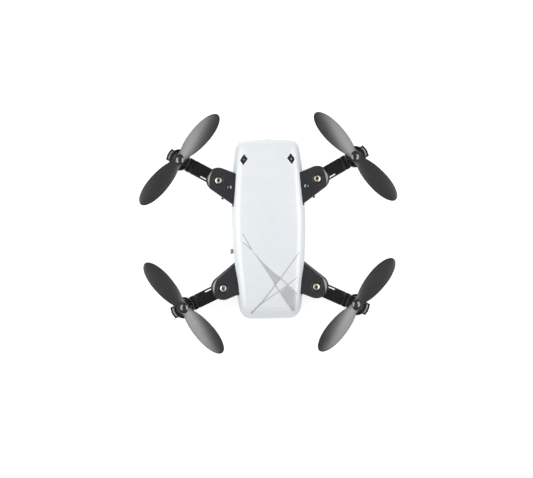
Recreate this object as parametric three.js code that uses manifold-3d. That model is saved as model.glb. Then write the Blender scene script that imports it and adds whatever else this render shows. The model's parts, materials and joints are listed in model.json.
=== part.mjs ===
// Mini palm drone with four folding arms. Millimetres, +Z up, +Y towards the nose, ground at z = 0.
import * as THREE from 'three';
import { mergeVertices } from 'three/addons/utils/BufferGeometryUtils.js';
import Module from 'manifold-3d';

const wasm = await Module();
wasm.setup();

// Driving dimensions of the body.
const NOSE_Y = 41.6;
const TAIL_Y = -38.4;
const MIDDLE_Y = (NOSE_Y + TAIL_Y) / 2;
const WIDEST_X = 16.4;
const WIDEST_Y = 5;
const WALL = 1.2;
const TOUCH_GAP = 0.3;
const BOTTOM_Z = 2.5;
const PARTING_Z = 9.0;
const CROWN_Z = 19.4;
const CROWN_Y = 8;
const CROWN_FALL_FRONT = 0.0015;
const CROWN_FALL_REAR = 0.0026;
const CROWN_DOME = 0.25;
const TOP_ROUND = 4.5;
const BOTTOM_ROUND = 3;
const RAIL_INNER = 11.6;
const RAIL_OUTER = 12.8;
const RAIL_LOW_Z = 9.3;

// Driving dimensions of the arms, given for a rear arm. A front arm sits FRONT_LIFT higher.
const FRONT_LIFT = 3.4;
const ARM_LENGTH = 19.5;
const ARM_HALF_WIDTH = 3.2;
const ARM_LOW_Z = 7.8;
const ARM_HIGH_Z = 12.0;
const EAR_THICK = 1.4;
const EAR_RADIUS = 5.5;
const LOWER_EAR_RADIUS = 5.1;
const EAR_END_SLOPE = 22;
const EAR_MIDDLE_SLOPE = 36;
const UPPER_EAR_Z = ARM_HIGH_Z + TOUCH_GAP;
const LOWER_EAR_Z = ARM_LOW_Z - TOUCH_GAP - EAR_THICK;
const PIVOT_POST_RADIUS = 2.0;
const PIVOT_CLEARANCE = 0.1;
const PIVOT_SCREW_HOLE = 1.1;
const PIVOT_SCREW_RECESS = { radius: 2.05, depth: 0.6 };
const KNUCKLE_RADIUS = 3.6;
const BEAM_END = 13.0;
const COLLAR_START = BEAM_END + TOUCH_GAP;
const CHANNEL_HALF_WIDTH = 1.3;
const CHANNEL_TOP_Z = 10.4;
const CHANNEL_START = 4.2;
const LEAD_Z = 9.4;

// Driving dimensions of a motor and its propeller, given for a rear arm.
const MOTOR_RADIUS = 3.5;
const MOTOR_LOW_Z = 2.2;
const MOTOR_HIGH_Z = 18.2;
const POD_RADIUS = 4.75;
const POD_BORE = 3.75;
const SLEEVE_LOW_Z = MOTOR_LOW_Z + 0.9;
const SLEEVE_HIGH_Z = MOTOR_HIGH_Z - 0.7;
const CAN_WALL = 0.45;
const COIL_RADIUS = 2.5;
const SHAFT_RADIUS = 0.5;
const HUB_RADIUS = 2.55;
const HUB_LOW_Z = 18.8;
const HUB_HIGH_Z = 22.5;
const BLADE_Z = 21.15;
const BLADE_TIP = 26.4;
const BLADE_CHORD = 8.8;
const BLADE_WIDEST = 15;
const BLADE_INWARD_REACH = 13.1;
const BLADE_ROOT = 1.6;
const FRONT_BLADE_REST = 48;
const REAR_BLADE_REST = 50;

const ARMS = [
  { name: 'front_left', side: -1, end: 1, pivot: [-22.1, 23.55], sweep: 29, lift: FRONT_LIFT },
  { name: 'front_right', side: 1, end: 1, pivot: [22.1, 23.55], sweep: 29, lift: FRONT_LIFT },
  { name: 'rear_left', side: -1, end: -1, pivot: [-20.85, -24.75], sweep: 25, lift: 0 },
  { name: 'rear_right', side: 1, end: -1, pivot: [20.85, -24.75], sweep: 25, lift: 0 },
];

// How many flats stand for a circle, and a length that passes right through the drone.
const FINE = 24;
const MEDIUM = 16;
const COARSE = 10;
const THROUGH = 40;

const drone = new THREE.Group();
const radians = THREE.MathUtils.degToRad;

// Materials

function material(color, roughness, metalness) {
  return new THREE.MeshStandardMaterial({ color, roughness, metalness });
}

const LOOKS = {
  white: () => material(0xeef2f4, 0.35, 0),
  black: () => material(0x26262a, 0.45, 0),
  blade: () => material(0x2e2e31, 0.3, 0),
  steel: () => material(0xb9b6ae, 0.3, 1),
  brass: () => material(0xa08850, 0.35, 1),
  board: () => material(0x1d5a36, 0.5, 0),
  chip: () => material(0x1a1a1c, 0.5, 0),
  foil: () => material(0xc3c8cd, 0.35, 0.6),
  lamp: () => material(0x8fa39a, 0.2, 0),
  lens: () => material(0x101418, 0.08, 0),
  knob: () => material(0xb79a5e, 0.45, 0),
  wire: () => material(0x8d1f1c, 0.5, 0),
};

// Geometry helpers

function solidOf(geometry) {
  const bare = geometry.clone();
  bare.deleteAttribute('normal');
  bare.deleteAttribute('uv');
  const merged = mergeVertices(bare, 1e-4);
  const kept = [];
  for (let i = 0; i < merged.index.count; i += 3) {
    const [a, b, c] = [0, 1, 2].map((k) => merged.index.getX(i + k));
    if (a !== b && b !== c && c !== a) kept.push(a, b, c);
  }
  return new wasm.Manifold(new wasm.Mesh({
    numProp: 3,
    vertProperties: new Float32Array(merged.attributes.position.array),
    triVerts: new Uint32Array(kept),
  }));
}

const FLAT_TOLERANCE = 0.008;

function geometryOf(solid) {
  const mesh = solid.asOriginal().simplify(FLAT_TOLERANCE).getMesh();
  const geometry = new THREE.BufferGeometry();
  geometry.setAttribute('position', new THREE.BufferAttribute(mesh.vertProperties, 3));
  geometry.setIndex(new THREE.BufferAttribute(mesh.triVerts, 1));
  return geometry;
}

function addPart(parent, name, solid, look) {
  const geometry = geometryOf(solid);
  geometry.computeVertexNormals();
  const mesh = new THREE.Mesh(geometry, LOOKS[look]());
  mesh.name = name;
  parent.add(mesh);
}

function box(x0, x1, y0, y1, z0, z1) {
  const geometry = new THREE.BoxGeometry(x1 - x0, y1 - y0, z1 - z0);
  geometry.translate((x0 + x1) / 2, (y0 + y1) / 2, (z0 + z1) / 2);
  return solidOf(geometry);
}

function post(x, y, z0, z1, radius, segments = MEDIUM) {
  const geometry = new THREE.CylinderGeometry(radius, radius, z1 - z0, segments);
  geometry.rotateX(Math.PI / 2);
  geometry.translate(x, y, (z0 + z1) / 2);
  return solidOf(geometry);
}

// A round bar along Y.
function bar(x, z, y0, y1, radius, segments = MEDIUM) {
  const geometry = new THREE.CylinderGeometry(radius, radius, y1 - y0, segments);
  geometry.translate(x, (y0 + y1) / 2, z);
  return solidOf(geometry);
}

// A solid of revolution about Z, from [radius, height] pairs.
function turned(profile, segments = MEDIUM) {
  const points = profile.map(([r, z]) => new THREE.Vector2(r, z));
  const geometry = new THREE.LatheGeometry(points, segments);
  geometry.rotateX(Math.PI / 2);
  return solidOf(geometry);
}

function plate(shape, z0, z1, curveSegments = 10) {
  const geometry = new THREE.ExtrudeGeometry(shape, {
    depth: z1 - z0,
    bevelEnabled: false,
    curveSegments,
  });
  geometry.translate(0, 0, z0);
  return solidOf(geometry);
}

function polygon(points) {
  return new THREE.Shape(points.map(([x, y]) => new THREE.Vector2(x, y)));
}

function addAll(first, ...others) {
  return others.reduce((sum, solid) => sum.add(solid), first);
}

function cutAll(first, ...others) {
  return others.reduce((rest, solid) => rest.subtract(solid), first);
}

// The twin or single lead that follows a route of straight runs with rounded corners.
function lead(route, halfWidth, halfThick) {
  const cornerRadius = 0.7;
  const points = route.map((p) => new THREE.Vector3(...p));
  const path = new THREE.CurvePath();
  let start = points[0];
  for (let i = 1; i < points.length - 1; i += 1) {
    const corner = points[i];
    const back = corner.clone().sub(points[i - 1]).normalize().multiplyScalar(cornerRadius);
    const ahead = points[i + 1].clone().sub(corner).normalize().multiplyScalar(cornerRadius);
    const before = corner.clone().sub(back);
    const after = corner.clone().add(ahead);
    path.add(new THREE.LineCurve3(start, before));
    path.add(new THREE.QuadraticBezierCurve3(before, corner, after));
    start = after;
  }
  path.add(new THREE.LineCurve3(start, points[points.length - 1]));
  const section = new THREE.Shape();
  section.absellipse(0, 0, halfThick, halfWidth, 0, 2 * Math.PI);
  const geometry = new THREE.ExtrudeGeometry(section, {
    steps: 14,
    extrudePath: path,
    curveSegments: 3,
  });
  return solidOf(geometry);
}

// Body outline and rounded shells

// The right half of the body's plan outline, from the middle of the nose to the middle of the tail.
function halfOutline() {
  const path = new THREE.Path();
  path.moveTo(0, NOSE_Y);
  path.quadraticCurveTo(6.5, NOSE_Y - 0.1, 10.8, NOSE_Y - 0.65);
  path.quadraticCurveTo(13.9, NOSE_Y - 1.1, 14.3, NOSE_Y - 4.9);
  path.bezierCurveTo(15.2, 31.5, 16.3, 16, WIDEST_X, WIDEST_Y);
  path.bezierCurveTo(WIDEST_X, -8, 14.9, -20, 14.1, TAIL_Y + 6.9);
  path.quadraticCurveTo(13.4, TAIL_Y + 0.8, 9, TAIL_Y + 0.1);
  path.lineTo(0, TAIL_Y);
  return path.getPoints(4);
}

function crownHeight(y) {
  const fall = y > CROWN_Y ? CROWN_FALL_FRONT : CROWN_FALL_REAR;
  return CROWN_Z - fall * (y - CROWN_Y) ** 2;
}

// A solid of the body's outline, shrunk by inset, flat at the rim and rounded into the cap.
function roundedBody({ inset, rimZ, capHeight, round, dome, arcSteps, crownSteps }) {
  const shrinkX = 1 - inset / WIDEST_X;
  const shrinkY = 1 - inset / (NOSE_Y - MIDDLE_Y);
  const roundX = round / WIDEST_X;
  const roundY = round / (NOSE_Y - MIDDLE_Y);
  const rows = halfOutline().map((point) => {
    const edgeX = point.x * shrinkX;
    const edgeY = MIDDLE_Y + (point.y - MIDDLE_Y) * shrinkY;
    const right = [[edgeX, edgeY, rimZ]];
    for (let i = 0; i <= arcSteps; i += 1) {
      const angle = (i / arcSteps) * (Math.PI / 2);
      const pull = 1 - Math.cos(angle);
      const y = MIDDLE_Y + (edgeY - MIDDLE_Y) * (1 - pull * roundY);
      const z = capHeight(y) - dome - round * (1 - Math.sin(angle));
      right.push([edgeX * (1 - pull * roundX), y, z]);
    }
    const [crownX, crownY] = right[right.length - 1];
    const crown = [];
    for (let i = 1; i < crownSteps; i += 1) {
      const across = 1 - (2 * i) / crownSteps;
      crown.push([crownX * across, crownY, capHeight(crownY) - dome * across ** 2]);
    }
    const left = right.map(([x, y, z]) => [-x, y, z]).reverse();
    return [...right, ...crown, ...left];
  });
  const columns = rows[0].length;
  const geometry = new THREE.BufferGeometry();
  geometry.setAttribute('position', new THREE.Float32BufferAttribute(rows.flat(2), 3));
  const index = [];
  for (let row = 0; row + 1 < rows.length; row += 1) {
    for (let column = 0; column < columns; column += 1) {
      const next = (column + 1) % columns;
      const a = row * columns + column;
      const b = row * columns + next;
      const c = (row + 1) * columns + column;
      const d = (row + 1) * columns + next;
      index.push(a, b, c, b, d, c);
    }
  }
  geometry.setIndex(index);
  return geometry;
}

// Ears

const EAR_ROOT_X = 16;

// One ear of a bracket in plan, for a pivot on the right at the front; others are mirrored.
function earShape(arm, radius, innerX) {
  const [pivotX, pivotY] = [Math.abs(arm.pivot[0]), Math.abs(arm.pivot[1])];
  const rootX = EAR_ROOT_X;
  const topAngle = radians(90 + EAR_END_SLOPE);
  const lowAngle = radians(EAR_MIDDLE_SLOPE - 90);
  const onArc = (angle) => [
    pivotX + radius * Math.cos(angle),
    pivotY + radius * Math.sin(angle),
  ];
  const [topX, topY] = onArc(topAngle);
  const [lowX, lowY] = onArc(lowAngle);
  const topRootY = topY - (topX - rootX) * Math.tan(radians(EAR_END_SLOPE));
  const lowRootY = lowY - (lowX - rootX) * Math.tan(radians(EAR_MIDDLE_SLOPE));
  const outline = [[innerX, lowRootY], [rootX, lowRootY]];
  const arcSteps = 14;
  for (let i = 0; i <= arcSteps; i += 1) {
    outline.push(onArc(lowAngle + ((topAngle - lowAngle) * i) / arcSteps));
  }
  outline.push([rootX, topRootY], [innerX, topRootY]);
  const placed = outline.map(([x, y]) => [arm.side * x, arm.end * y]);
  return polygon(arm.side * arm.end < 0 ? placed.reverse() : placed);
}

// The stretch of the body's side, along Y, that an ear's root takes.
function earRootSpan(arm) {
  const points = earShape(arm, EAR_RADIUS, RAIL_INNER).getPoints();
  const ys = points.filter((p) => Math.abs(p.x) <= EAR_ROOT_X).map((p) => p.y);
  return [Math.min(...ys), Math.max(...ys)];
}

function mirroredBox(side, x0, x1, y0, y1, z0, z1) {
  return side > 0 ? box(x0, x1, y0, y1, z0, z1) : box(-x1, -x0, y0, y1, z0, z1);
}

// Body parts

const SCREW_POSTS = [[-8.4, 37.2], [8.4, 37.2], [-8.4, -33.4], [8.4, -33.4]];
const SCREW_PILOT = 0.95;
const SCREW_HEAD = { radius: 1.6, low: 2.8, high: 4.0 };
const BOARD_POSTS = [[-9, 24.5], [9, 24.5], [-9, -24.5], [9, -24.5]];
const BOARD_LOW_Z = 10.4;
const BOARD_HIGH_Z = 11.4;
const SIDE_PORT_Y = -8.2;
const CAMERA_Z = 12.2;
const CAMERA_FRONT_Y = 41.0;
const BARREL_RADIUS = 2.6;
const LENS_RADIUS = 1.9;
const LAMP = { x: 10.5, y: 32.6, radius: 0.8 };
const LAMP_RIM = { width: 0.55, rise: 0.1, depth: 1.3 };
const PIP = { x: 17.2, y: 20.4, radius: 1.3 };
const STOP_PEG = { x: 20.4, y: 15.6, radius: 0.6 };

// The diamond light opening, centred on its lamp, grown outwards by margin.
function diamond(side, margin) {
  const corners = [[-0.05, 2.4], [-1.7, 0.25], [0.35, -2.4], [1.65, -0.25]];
  const placed = corners.map(([x, y]) => {
    const grow = 1 + margin / Math.hypot(1.2, 1.2);
    return [side * (LAMP.x + x * grow), LAMP.y + y * grow];
  });
  return polygon(side < 0 ? placed.reverse() : placed);
}

function topShell() {
  const skin = {
    inset: 0,
    rimZ: PARTING_Z,
    capHeight: crownHeight,
    round: TOP_ROUND,
    dome: CROWN_DOME,
    arcSteps: 4,
    crownSteps: 2,
  };
  const inside = {
    inset: WALL,
    rimZ: PARTING_Z - 2,
    capHeight: (y) => crownHeight(y) - WALL,
    round: TOP_ROUND - WALL,
    dome: CROWN_DOME,
    arcSteps: 3,
    crownSteps: 2,
  };
  const outer = solidOf(roundedBody(skin));
  const columnReach = solidOf(roundedBody({ ...skin, inset: WALL / 4, rimZ: 0 }));
  let shell = outer.subtract(solidOf(roundedBody(inside)));
  for (const [x, y] of SCREW_POSTS) {
    const column = post(x, y, 5.4, CROWN_Z, 2, COARSE).intersect(columnReach);
    const pilot = post(x, y, 5, 10.5, SCREW_PILOT, COARSE);
    shell = shell.add(column).subtract(pilot);
  }
  for (const side of [-1, 1]) {
    const rimTop = crownHeight(LAMP.y) + LAMP_RIM.rise;
    const rim = plate(diamond(side, LAMP_RIM.width), rimTop - LAMP_RIM.depth, rimTop);
    shell = shell.add(rim).subtract(plate(diamond(side, 0), 10, rimTop + 1));
  }
  for (const arm of ARMS) {
    const [low, high] = earRootSpan(arm);
    const headroom = arm.end > 0 ? 0.35 : 0.95;
    const innerX = arm.end > 0 ? RAIL_INNER - 0.2 : RAIL_INNER + 0.1;
    const arch = mirroredBox(arm.side, innerX, THROUGH, low - TOUCH_GAP, high + TOUCH_GAP,
      0, UPPER_EAR_Z + arm.lift + EAR_THICK + headroom);
    shell = shell.subtract(arch);
  }
  const lensHole = bar(0, CAMERA_Z, 38, NOSE_Y + 2, BARREL_RADIUS + TOUCH_GAP);
  const switchSlot = box(-18, -13, -9.7, -4.7, 12.3, 14.1);
  const socketSlot = box(13, 18, SIDE_PORT_Y - 4.1, SIDE_PORT_Y + 4.1, 11.4, 14.7);
  return cutAll(shell, lensHole, switchSlot, socketSlot);
}

function bottomShell() {
  const skin = {
    inset: 0,
    rimZ: -(PARTING_Z - TOUCH_GAP),
    capHeight: () => -BOTTOM_Z,
    round: BOTTOM_ROUND,
    dome: 0,
    arcSteps: 3,
    crownSteps: 1,
  };
  const inside = {
    inset: WALL,
    rimZ: -(PARTING_Z + 1),
    capHeight: () => -BOTTOM_Z - WALL,
    round: BOTTOM_ROUND - WALL,
    dome: 0,
    arcSteps: 2,
    crownSteps: 1,
  };
  const outer = solidOf(roundedBody(skin).rotateY(Math.PI));
  const hollow = solidOf(roundedBody(inside).rotateY(Math.PI));
  let shell = outer.subtract(hollow);
  const floorZ = BOTTOM_Z + WALL / 2;
  for (const [x, y] of SCREW_POSTS) {
    const seat = post(x, y, floorZ, 5.1, 2.7, COARSE);
    const recess = post(x, y, 2, SCREW_HEAD.high + 0.2, SCREW_HEAD.radius + TOUCH_GAP, COARSE);
    const hole = post(x, y, 2, 6, 1.1, COARSE);
    shell = cutAll(shell.add(seat), recess, hole);
  }
  for (const [x, y] of BOARD_POSTS) {
    shell = shell.add(post(x, y, floorZ, BOARD_LOW_Z - TOUCH_GAP, 1.3, COARSE));
  }
  for (const arm of ARMS) {
    const earLow = LOWER_EAR_Z + arm.lift;
    const earHigh = earLow + EAR_THICK;
    const [low, high] = earRootSpan(arm);
    const [x, y] = arm.pivot;
    const ear = plate(earShape(arm, LOWER_EAR_RADIUS, 13.4), earLow, earHigh);
    const root = mirroredBox(arm.side, 13.2, 14.9, low, high, 5.2, earHigh);
    const pivotPost = post(
      x, y, earHigh - 0.5, UPPER_EAR_Z + arm.lift - TOUCH_GAP, PIVOT_POST_RADIUS, FINE,
    );
    const bore = post(x, y, earLow + 0.4, THROUGH, PIVOT_SCREW_HOLE, COARSE);
    shell = addAll(shell, root, ear, pivotPost).subtract(bore);
    if (arm.end > 0) {
      const pegX = arm.side * STOP_PEG.x;
      shell = shell.add(post(pegX, STOP_PEG.y, earLow, earHigh, STOP_PEG.radius, COARSE));
    }
  }
  return shell;
}

function upperFrame() {
  const frontDeckZ = UPPER_EAR_Z + FRONT_LIFT;
  let frame = null;
  const join = (solid) => {
    frame = frame ? frame.add(solid) : solid;
  };
  for (const side of [-1, 1]) {
    join(mirroredBox(side, RAIL_INNER, RAIL_OUTER, -27.5, 27.5, RAIL_LOW_Z, UPPER_EAR_Z + 0.4));
    join(mirroredBox(side, RAIL_INNER, RAIL_OUTER, 13, 27, RAIL_LOW_Z, frontDeckZ + 0.4));
  }
  join(box(-RAIL_OUTER, RAIL_OUTER, 13.2, 26.6, frontDeckZ, frontDeckZ + EAR_THICK));
  join(box(-RAIL_OUTER, RAIL_OUTER, -27.6, -15, UPPER_EAR_Z, UPPER_EAR_Z + EAR_THICK));
  for (const arm of ARMS) {
    const [low, high] = earRootSpan(arm);
    const earLow = UPPER_EAR_Z + arm.lift;
    const webLow = arm.end > 0 ? LOWER_EAR_Z + arm.lift + EAR_THICK + TOUCH_GAP : PARTING_Z;
    const webOuter = arm.end > 0 ? 15 : 14;
    join(plate(earShape(arm, EAR_RADIUS, RAIL_INNER), earLow, earLow + EAR_THICK));
    join(mirroredBox(arm.side, RAIL_OUTER - 0.2, webOuter, low + 0.3, high - 0.3,
      webLow, earLow + 0.4));
  }
  for (const arm of ARMS) {
    const [x, y] = arm.pivot;
    const top = UPPER_EAR_Z + arm.lift + EAR_THICK;
    const { radius, depth } = PIVOT_SCREW_RECESS;
    const recess = post(x, y, top - depth, top + 1, radius, MEDIUM);
    const hole = post(x, y, top - 3, top + 1, PIVOT_SCREW_HOLE, COARSE);
    frame = cutAll(frame, recess, hole);
    if (arm.end > 0) {
      const pip = new THREE.SphereGeometry(PIP.radius, COARSE, 6);
      pip.scale(1, 1, 0.5);
      pip.translate(arm.side * PIP.x, PIP.y, top);
      frame = frame.add(solidOf(pip));
    }
  }
  const sideNotch = box(-14, 14, SIDE_PORT_Y - 4.4, SIDE_PORT_Y + 4.4, 11.35, 14);
  return frame.subtract(sideNotch);
}

function mainBoard() {
  const halfWidth = 11.2;
  const frontY = 34.9;
  const rearY = -27;
  const corner = 1.5;
  const board = polygon([
    [-halfWidth, rearY + corner], [-halfWidth + corner, rearY],
    [halfWidth - corner, rearY], [halfWidth, rearY + corner],
    [halfWidth, frontY - corner], [halfWidth - corner, frontY],
    [-halfWidth + corner, frontY], [-halfWidth, frontY - corner],
  ]);
  return plate(board, BOARD_LOW_Z, BOARD_HIGH_Z);
}

function batteryPack() {
  const outline = new THREE.Shape();
  const [halfWidth, rear, front, corner] = [10, -19.8, 16.2, 1.6];
  outline.moveTo(-halfWidth + corner, rear);
  outline.lineTo(halfWidth - corner, rear);
  outline.absarc(halfWidth - corner, rear + corner, corner, -Math.PI / 2, 0);
  outline.absarc(halfWidth - corner, front - corner, corner, 0, Math.PI / 2);
  outline.absarc(-halfWidth + corner, front - corner, corner, Math.PI / 2, Math.PI);
  outline.absarc(-halfWidth + corner, rear + corner, corner, Math.PI, 1.5 * Math.PI);
  return plate(outline, 4.0, 9.6, 4);
}

function chargeSocket() {
  const low = BOARD_HIGH_Z + TOUCH_GAP;
  const high = low + 2.7;
  const shell = box(8.6, 15.2, SIDE_PORT_Y - 3.8, SIDE_PORT_Y + 3.8, low, high);
  const mouth = box(10, 16, SIDE_PORT_Y - 3.4, SIDE_PORT_Y + 3.4, low + 0.4, high - 0.4);
  const tongue = box(9.8, 14.6, SIDE_PORT_Y - 2.4, SIDE_PORT_Y + 2.4, low + 0.9, low + 1.5);
  return shell.subtract(mouth).add(tongue);
}

function switchBody() {
  const low = BOARD_HIGH_Z + TOUCH_GAP;
  const block = box(-14, -10.4, -12.2, -4.2, low, low + 3.4);
  const track = box(-13.3, -11.5, -11.2, -4.9, 12.4, 14.0);
  const window = box(-15, -13, -9.7, -4.8, 12.5, 13.9);
  return cutAll(block, track, window);
}

function switchSlider() {
  const knob = box(-17.3, -16.4, -9.35, -7.05, 12.55, 13.85);
  const grip = box(-17.1, -16.2, -8.9, -7.5, 12.65, 13.75);
  const stem = box(-16.6, -12.6, -8.8, -7.6, 12.85, 13.55);
  const shoe = box(-13.0, -11.9, -9.2, -7.2, 12.7, 13.7);
  return addAll(knob, grip, stem, shoe);
}

function cameraBarrel() {
  const barrel = bar(0, CAMERA_Z, 36.6, CAMERA_FRONT_Y, BARREL_RADIUS);
  const seat = bar(0, CAMERA_Z, CAMERA_FRONT_Y - 1.1, THROUGH + NOSE_Y, LENS_RADIUS + TOUCH_GAP);
  return barrel.subtract(seat);
}

function cameraLens() {
  const rim = [
    [0, 40.2], [LENS_RADIUS, 40.2], [LENS_RADIUS, 40.5], [1.4, 40.75], [0.7, 40.9], [0, 40.95],
  ];
  const points = rim.map(([r, y]) => new THREE.Vector2(r, y));
  const geometry = new THREE.LatheGeometry(points, MEDIUM);
  geometry.translate(0, 0, CAMERA_Z);
  return solidOf(geometry);
}

function ledHolder(side) {
  const top = crownHeight(LAMP.y) - 1.3;
  const block = plate(diamond(side, -0.28), BOARD_HIGH_Z + TOUCH_GAP, top);
  return block.subtract(post(side * LAMP.x, LAMP.y, top - 2.5, top + 1, 1.0, COARSE));
}

function ledLamp(side) {
  const top = crownHeight(LAMP.y) - 0.9;
  const low = top - 2.6;
  const bulb = turned([
    [0, low], [LAMP.radius, low], [LAMP.radius, top - 0.8], [0.7, top - 0.35],
    [0.4, top - 0.08], [0, top],
  ], COARSE);
  return bulb.translate([side * LAMP.x, LAMP.y, 0]);
}

function shellScrew(x, y) {
  const screw = turned([
    [0, SCREW_HEAD.low], [SCREW_HEAD.radius, SCREW_HEAD.low],
    [SCREW_HEAD.radius, SCREW_HEAD.high], [0.7, SCREW_HEAD.high], [0.7, 9.6], [0.3, 10.1],
    [0, 10.1],
  ], COARSE);
  const slot = addAll(box(-1, 1, -0.2, 0.2, 2, 3.4), box(-0.2, 0.2, -1, 1, 2, 3.4));
  return screw.subtract(slot).translate([x, y, 0]);
}

function pivotScrew(arm) {
  const seat = UPPER_EAR_Z + EAR_THICK - 0.45;
  const screw = turned([
    [0, LOWER_EAR_Z + 0.7], [0.5, LOWER_EAR_Z + 0.7], [0.8, LOWER_EAR_Z + 1.1],
    [0.8, seat], [1.5, seat], [1.5, seat + 0.45], [1.15, seat + 0.8], [0, seat + 0.9],
  ], MEDIUM);
  const cross = addAll(
    box(-0.85, 0.85, -0.2, 0.2, seat + 0.35, seat + 2),
    box(-0.2, 0.2, -0.85, 0.85, seat + 0.35, seat + 2),
  );
  return screw.subtract(cross).translate([...arm.pivot, arm.lift]);
}

function addBody() {
  addPart(drone, 'top_shell', topShell(), 'white');
  addPart(drone, 'upper_frame', upperFrame(), 'black');
  addPart(drone, 'bottom_shell', bottomShell(), 'black');
  addPart(drone, 'battery', batteryPack(), 'foil');
  addPart(drone, 'main_board', mainBoard(), 'board');
  const chipZ = BOARD_HIGH_Z + TOUCH_GAP;
  addPart(drone, 'processor_chip', box(-2.5, 2.5, -0.5, 4.5, chipZ, chipZ + 0.9), 'chip');
  addPart(drone, 'motion_sensor', box(-6.5, -3.5, -5.5, -2.5, chipZ, chipZ + 0.8), 'chip');
  addPart(drone, 'camera_board', box(-4, 4, 35.4, 36.3, 8.9, 15.5), 'board');
  addPart(drone, 'camera_barrel', cameraBarrel(), 'black');
  addPart(drone, 'camera_lens', cameraLens(), 'lens');
  addPart(drone, 'switch_body', switchBody(), 'chip');
  addPart(drone, 'switch_slider', switchSlider(), 'knob');
  addPart(drone, 'charge_socket', chargeSocket(), 'steel');
  const batteryRoute = [[3, -20.1, 7], [3, -22.5, 7], [3, -22.5, BOARD_LOW_Z - TOUCH_GAP]];
  addPart(drone, 'battery_lead', lead(batteryRoute, 1.0, 0.5), 'wire');
  const antennaRoute = [
    [5.2, -27.4, 11], [5.2, -35.4, 11], [-5.2, -35.4, 11], [-5.2, -28.2, 11],
  ];
  addPart(drone, 'antenna_wire', lead(antennaRoute, 0.4, 0.4), 'chip');
  for (const [name, side] of [['left', -1], ['right', 1]]) {
    addPart(drone, `led_holder_${name}`, ledHolder(side), 'black');
    addPart(drone, `led_lamp_${name}`, ledLamp(side), 'lamp');
  }
  SCREW_POSTS.forEach(([x, y], i) => {
    addPart(drone, `shell_screw_${i + 1}`, shellScrew(x, y), 'steel');
  });
  for (const arm of ARMS) {
    addPart(drone, `pivot_screw_${arm.name}`, pivotScrew(arm), 'steel');
  }
}

// Arm parts, in the arm's own frame: X runs from the pivot to the motor.

function armBeam(foldSide) {
  const knuckle = post(0, 0, ARM_LOW_Z, ARM_HIGH_Z, KNUCKLE_RADIUS, FINE);
  const beam = box(0, BEAM_END, -ARM_HALF_WIDTH, ARM_HALF_WIDTH, ARM_LOW_Z, ARM_HIGH_Z);
  const tongue = box(BEAM_END - 1, 14.3, -2.2, 2.2, ARM_LOW_Z + 0.9, ARM_HIGH_Z - 0.9);
  const channel = box(CHANNEL_START, THROUGH, -CHANNEL_HALF_WIDTH, CHANNEL_HALF_WIDTH,
    0, CHANNEL_TOP_Z);
  const bore = post(0, 0, 0, THROUGH, PIVOT_POST_RADIUS + PIVOT_CLEARANCE, FINE);
  const slot = box(4.6, 8.0, 1.9, 2.5, 0, THROUGH);
  const placedSlot = foldSide > 0 ? slot : slot.mirror([0, 1, 0]);
  return cutAll(addAll(knuckle, beam, tongue), channel, bore, placedSlot);
}

function armCover() {
  const halfWidth = CHANNEL_HALF_WIDTH - 0.25;
  return box(4.5, BEAM_END, -halfWidth, halfWidth, ARM_LOW_Z, ARM_LOW_Z + 0.8);
}

function motorMount(lift) {
  const sleeve = post(ARM_LENGTH, 0, SLEEVE_LOW_Z, SLEEVE_HIGH_Z, POD_RADIUS, FINE);
  const collar = box(COLLAR_START, ARM_LENGTH - 3.8, -ARM_HALF_WIDTH, ARM_HALF_WIDTH,
    ARM_LOW_Z, ARM_HIGH_Z);
  const bore = post(ARM_LENGTH, 0, 0, THROUGH, POD_BORE, FINE);
  const pocket = box(COLLAR_START - 1, 14.6, -2.5, 2.5, ARM_LOW_Z + 0.6, ARM_HIGH_Z - 0.6);
  const leadGroove = box(14, ARM_LENGTH - 3, -CHANNEL_HALF_WIDTH, CHANNEL_HALF_WIDTH,
    0, CHANNEL_TOP_Z);
  const legLow = -lift;
  const legReach = ARM_LENGTH + 5.95;
  const legHalfWidth = 2.4;
  const leg = box(ARM_LENGTH + 3.9, legReach, -legHalfWidth, legHalfWidth,
    SLEEVE_LOW_Z + 1, SLEEVE_HIGH_Z - 2.5);
  const foot = box(ARM_LENGTH + 4.95, legReach, -legHalfWidth, legHalfWidth,
    legLow, SLEEVE_LOW_Z + 2);
  const legSlot = box(ARM_LENGTH + 4.85, ARM_LENGTH + 5.35, -1.6, 1.6, -THROUGH, THROUGH);
  const legTrim = post(ARM_LENGTH, 0, -THROUGH, THROUGH, 6.2, FINE);
  const wholeLeg = leg.add(foot).intersect(legTrim);
  return cutAll(addAll(sleeve, collar, wholeLeg), bore, pocket, leadGroove, legSlot);
}

function motorCan() {
  const inner = MOTOR_RADIUS - CAN_WALL;
  return turned([
    [inner, MOTOR_LOW_Z], [MOTOR_RADIUS, MOTOR_LOW_Z], [MOTOR_RADIUS, MOTOR_HIGH_Z - 0.3],
    [MOTOR_RADIUS - 0.3, MOTOR_HIGH_Z], [1.5, MOTOR_HIGH_Z], [1.5, MOTOR_HIGH_Z + 0.3],
    [0.85, MOTOR_HIGH_Z + 0.3], [0.85, MOTOR_HIGH_Z - 0.9], [inner, MOTOR_HIGH_Z - 0.9],
    [inner, MOTOR_LOW_Z],
  ], FINE).translate([ARM_LENGTH, 0, 0]);
}

function motorCap() {
  return post(ARM_LENGTH, 0, MOTOR_LOW_Z + 0.1, MOTOR_LOW_Z + 1.1, 2.75);
}

function motorLead() {
  return lead([
    [ARM_LENGTH - 1.2, 0, MOTOR_LOW_Z - 0.7],
    [ARM_LENGTH - 4.25, 0, MOTOR_LOW_Z - 0.7],
    [ARM_LENGTH - 4.25, 0, LEAD_Z],
    [5.0, 0, LEAD_Z],
  ], 0.85, 0.4);
}

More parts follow.
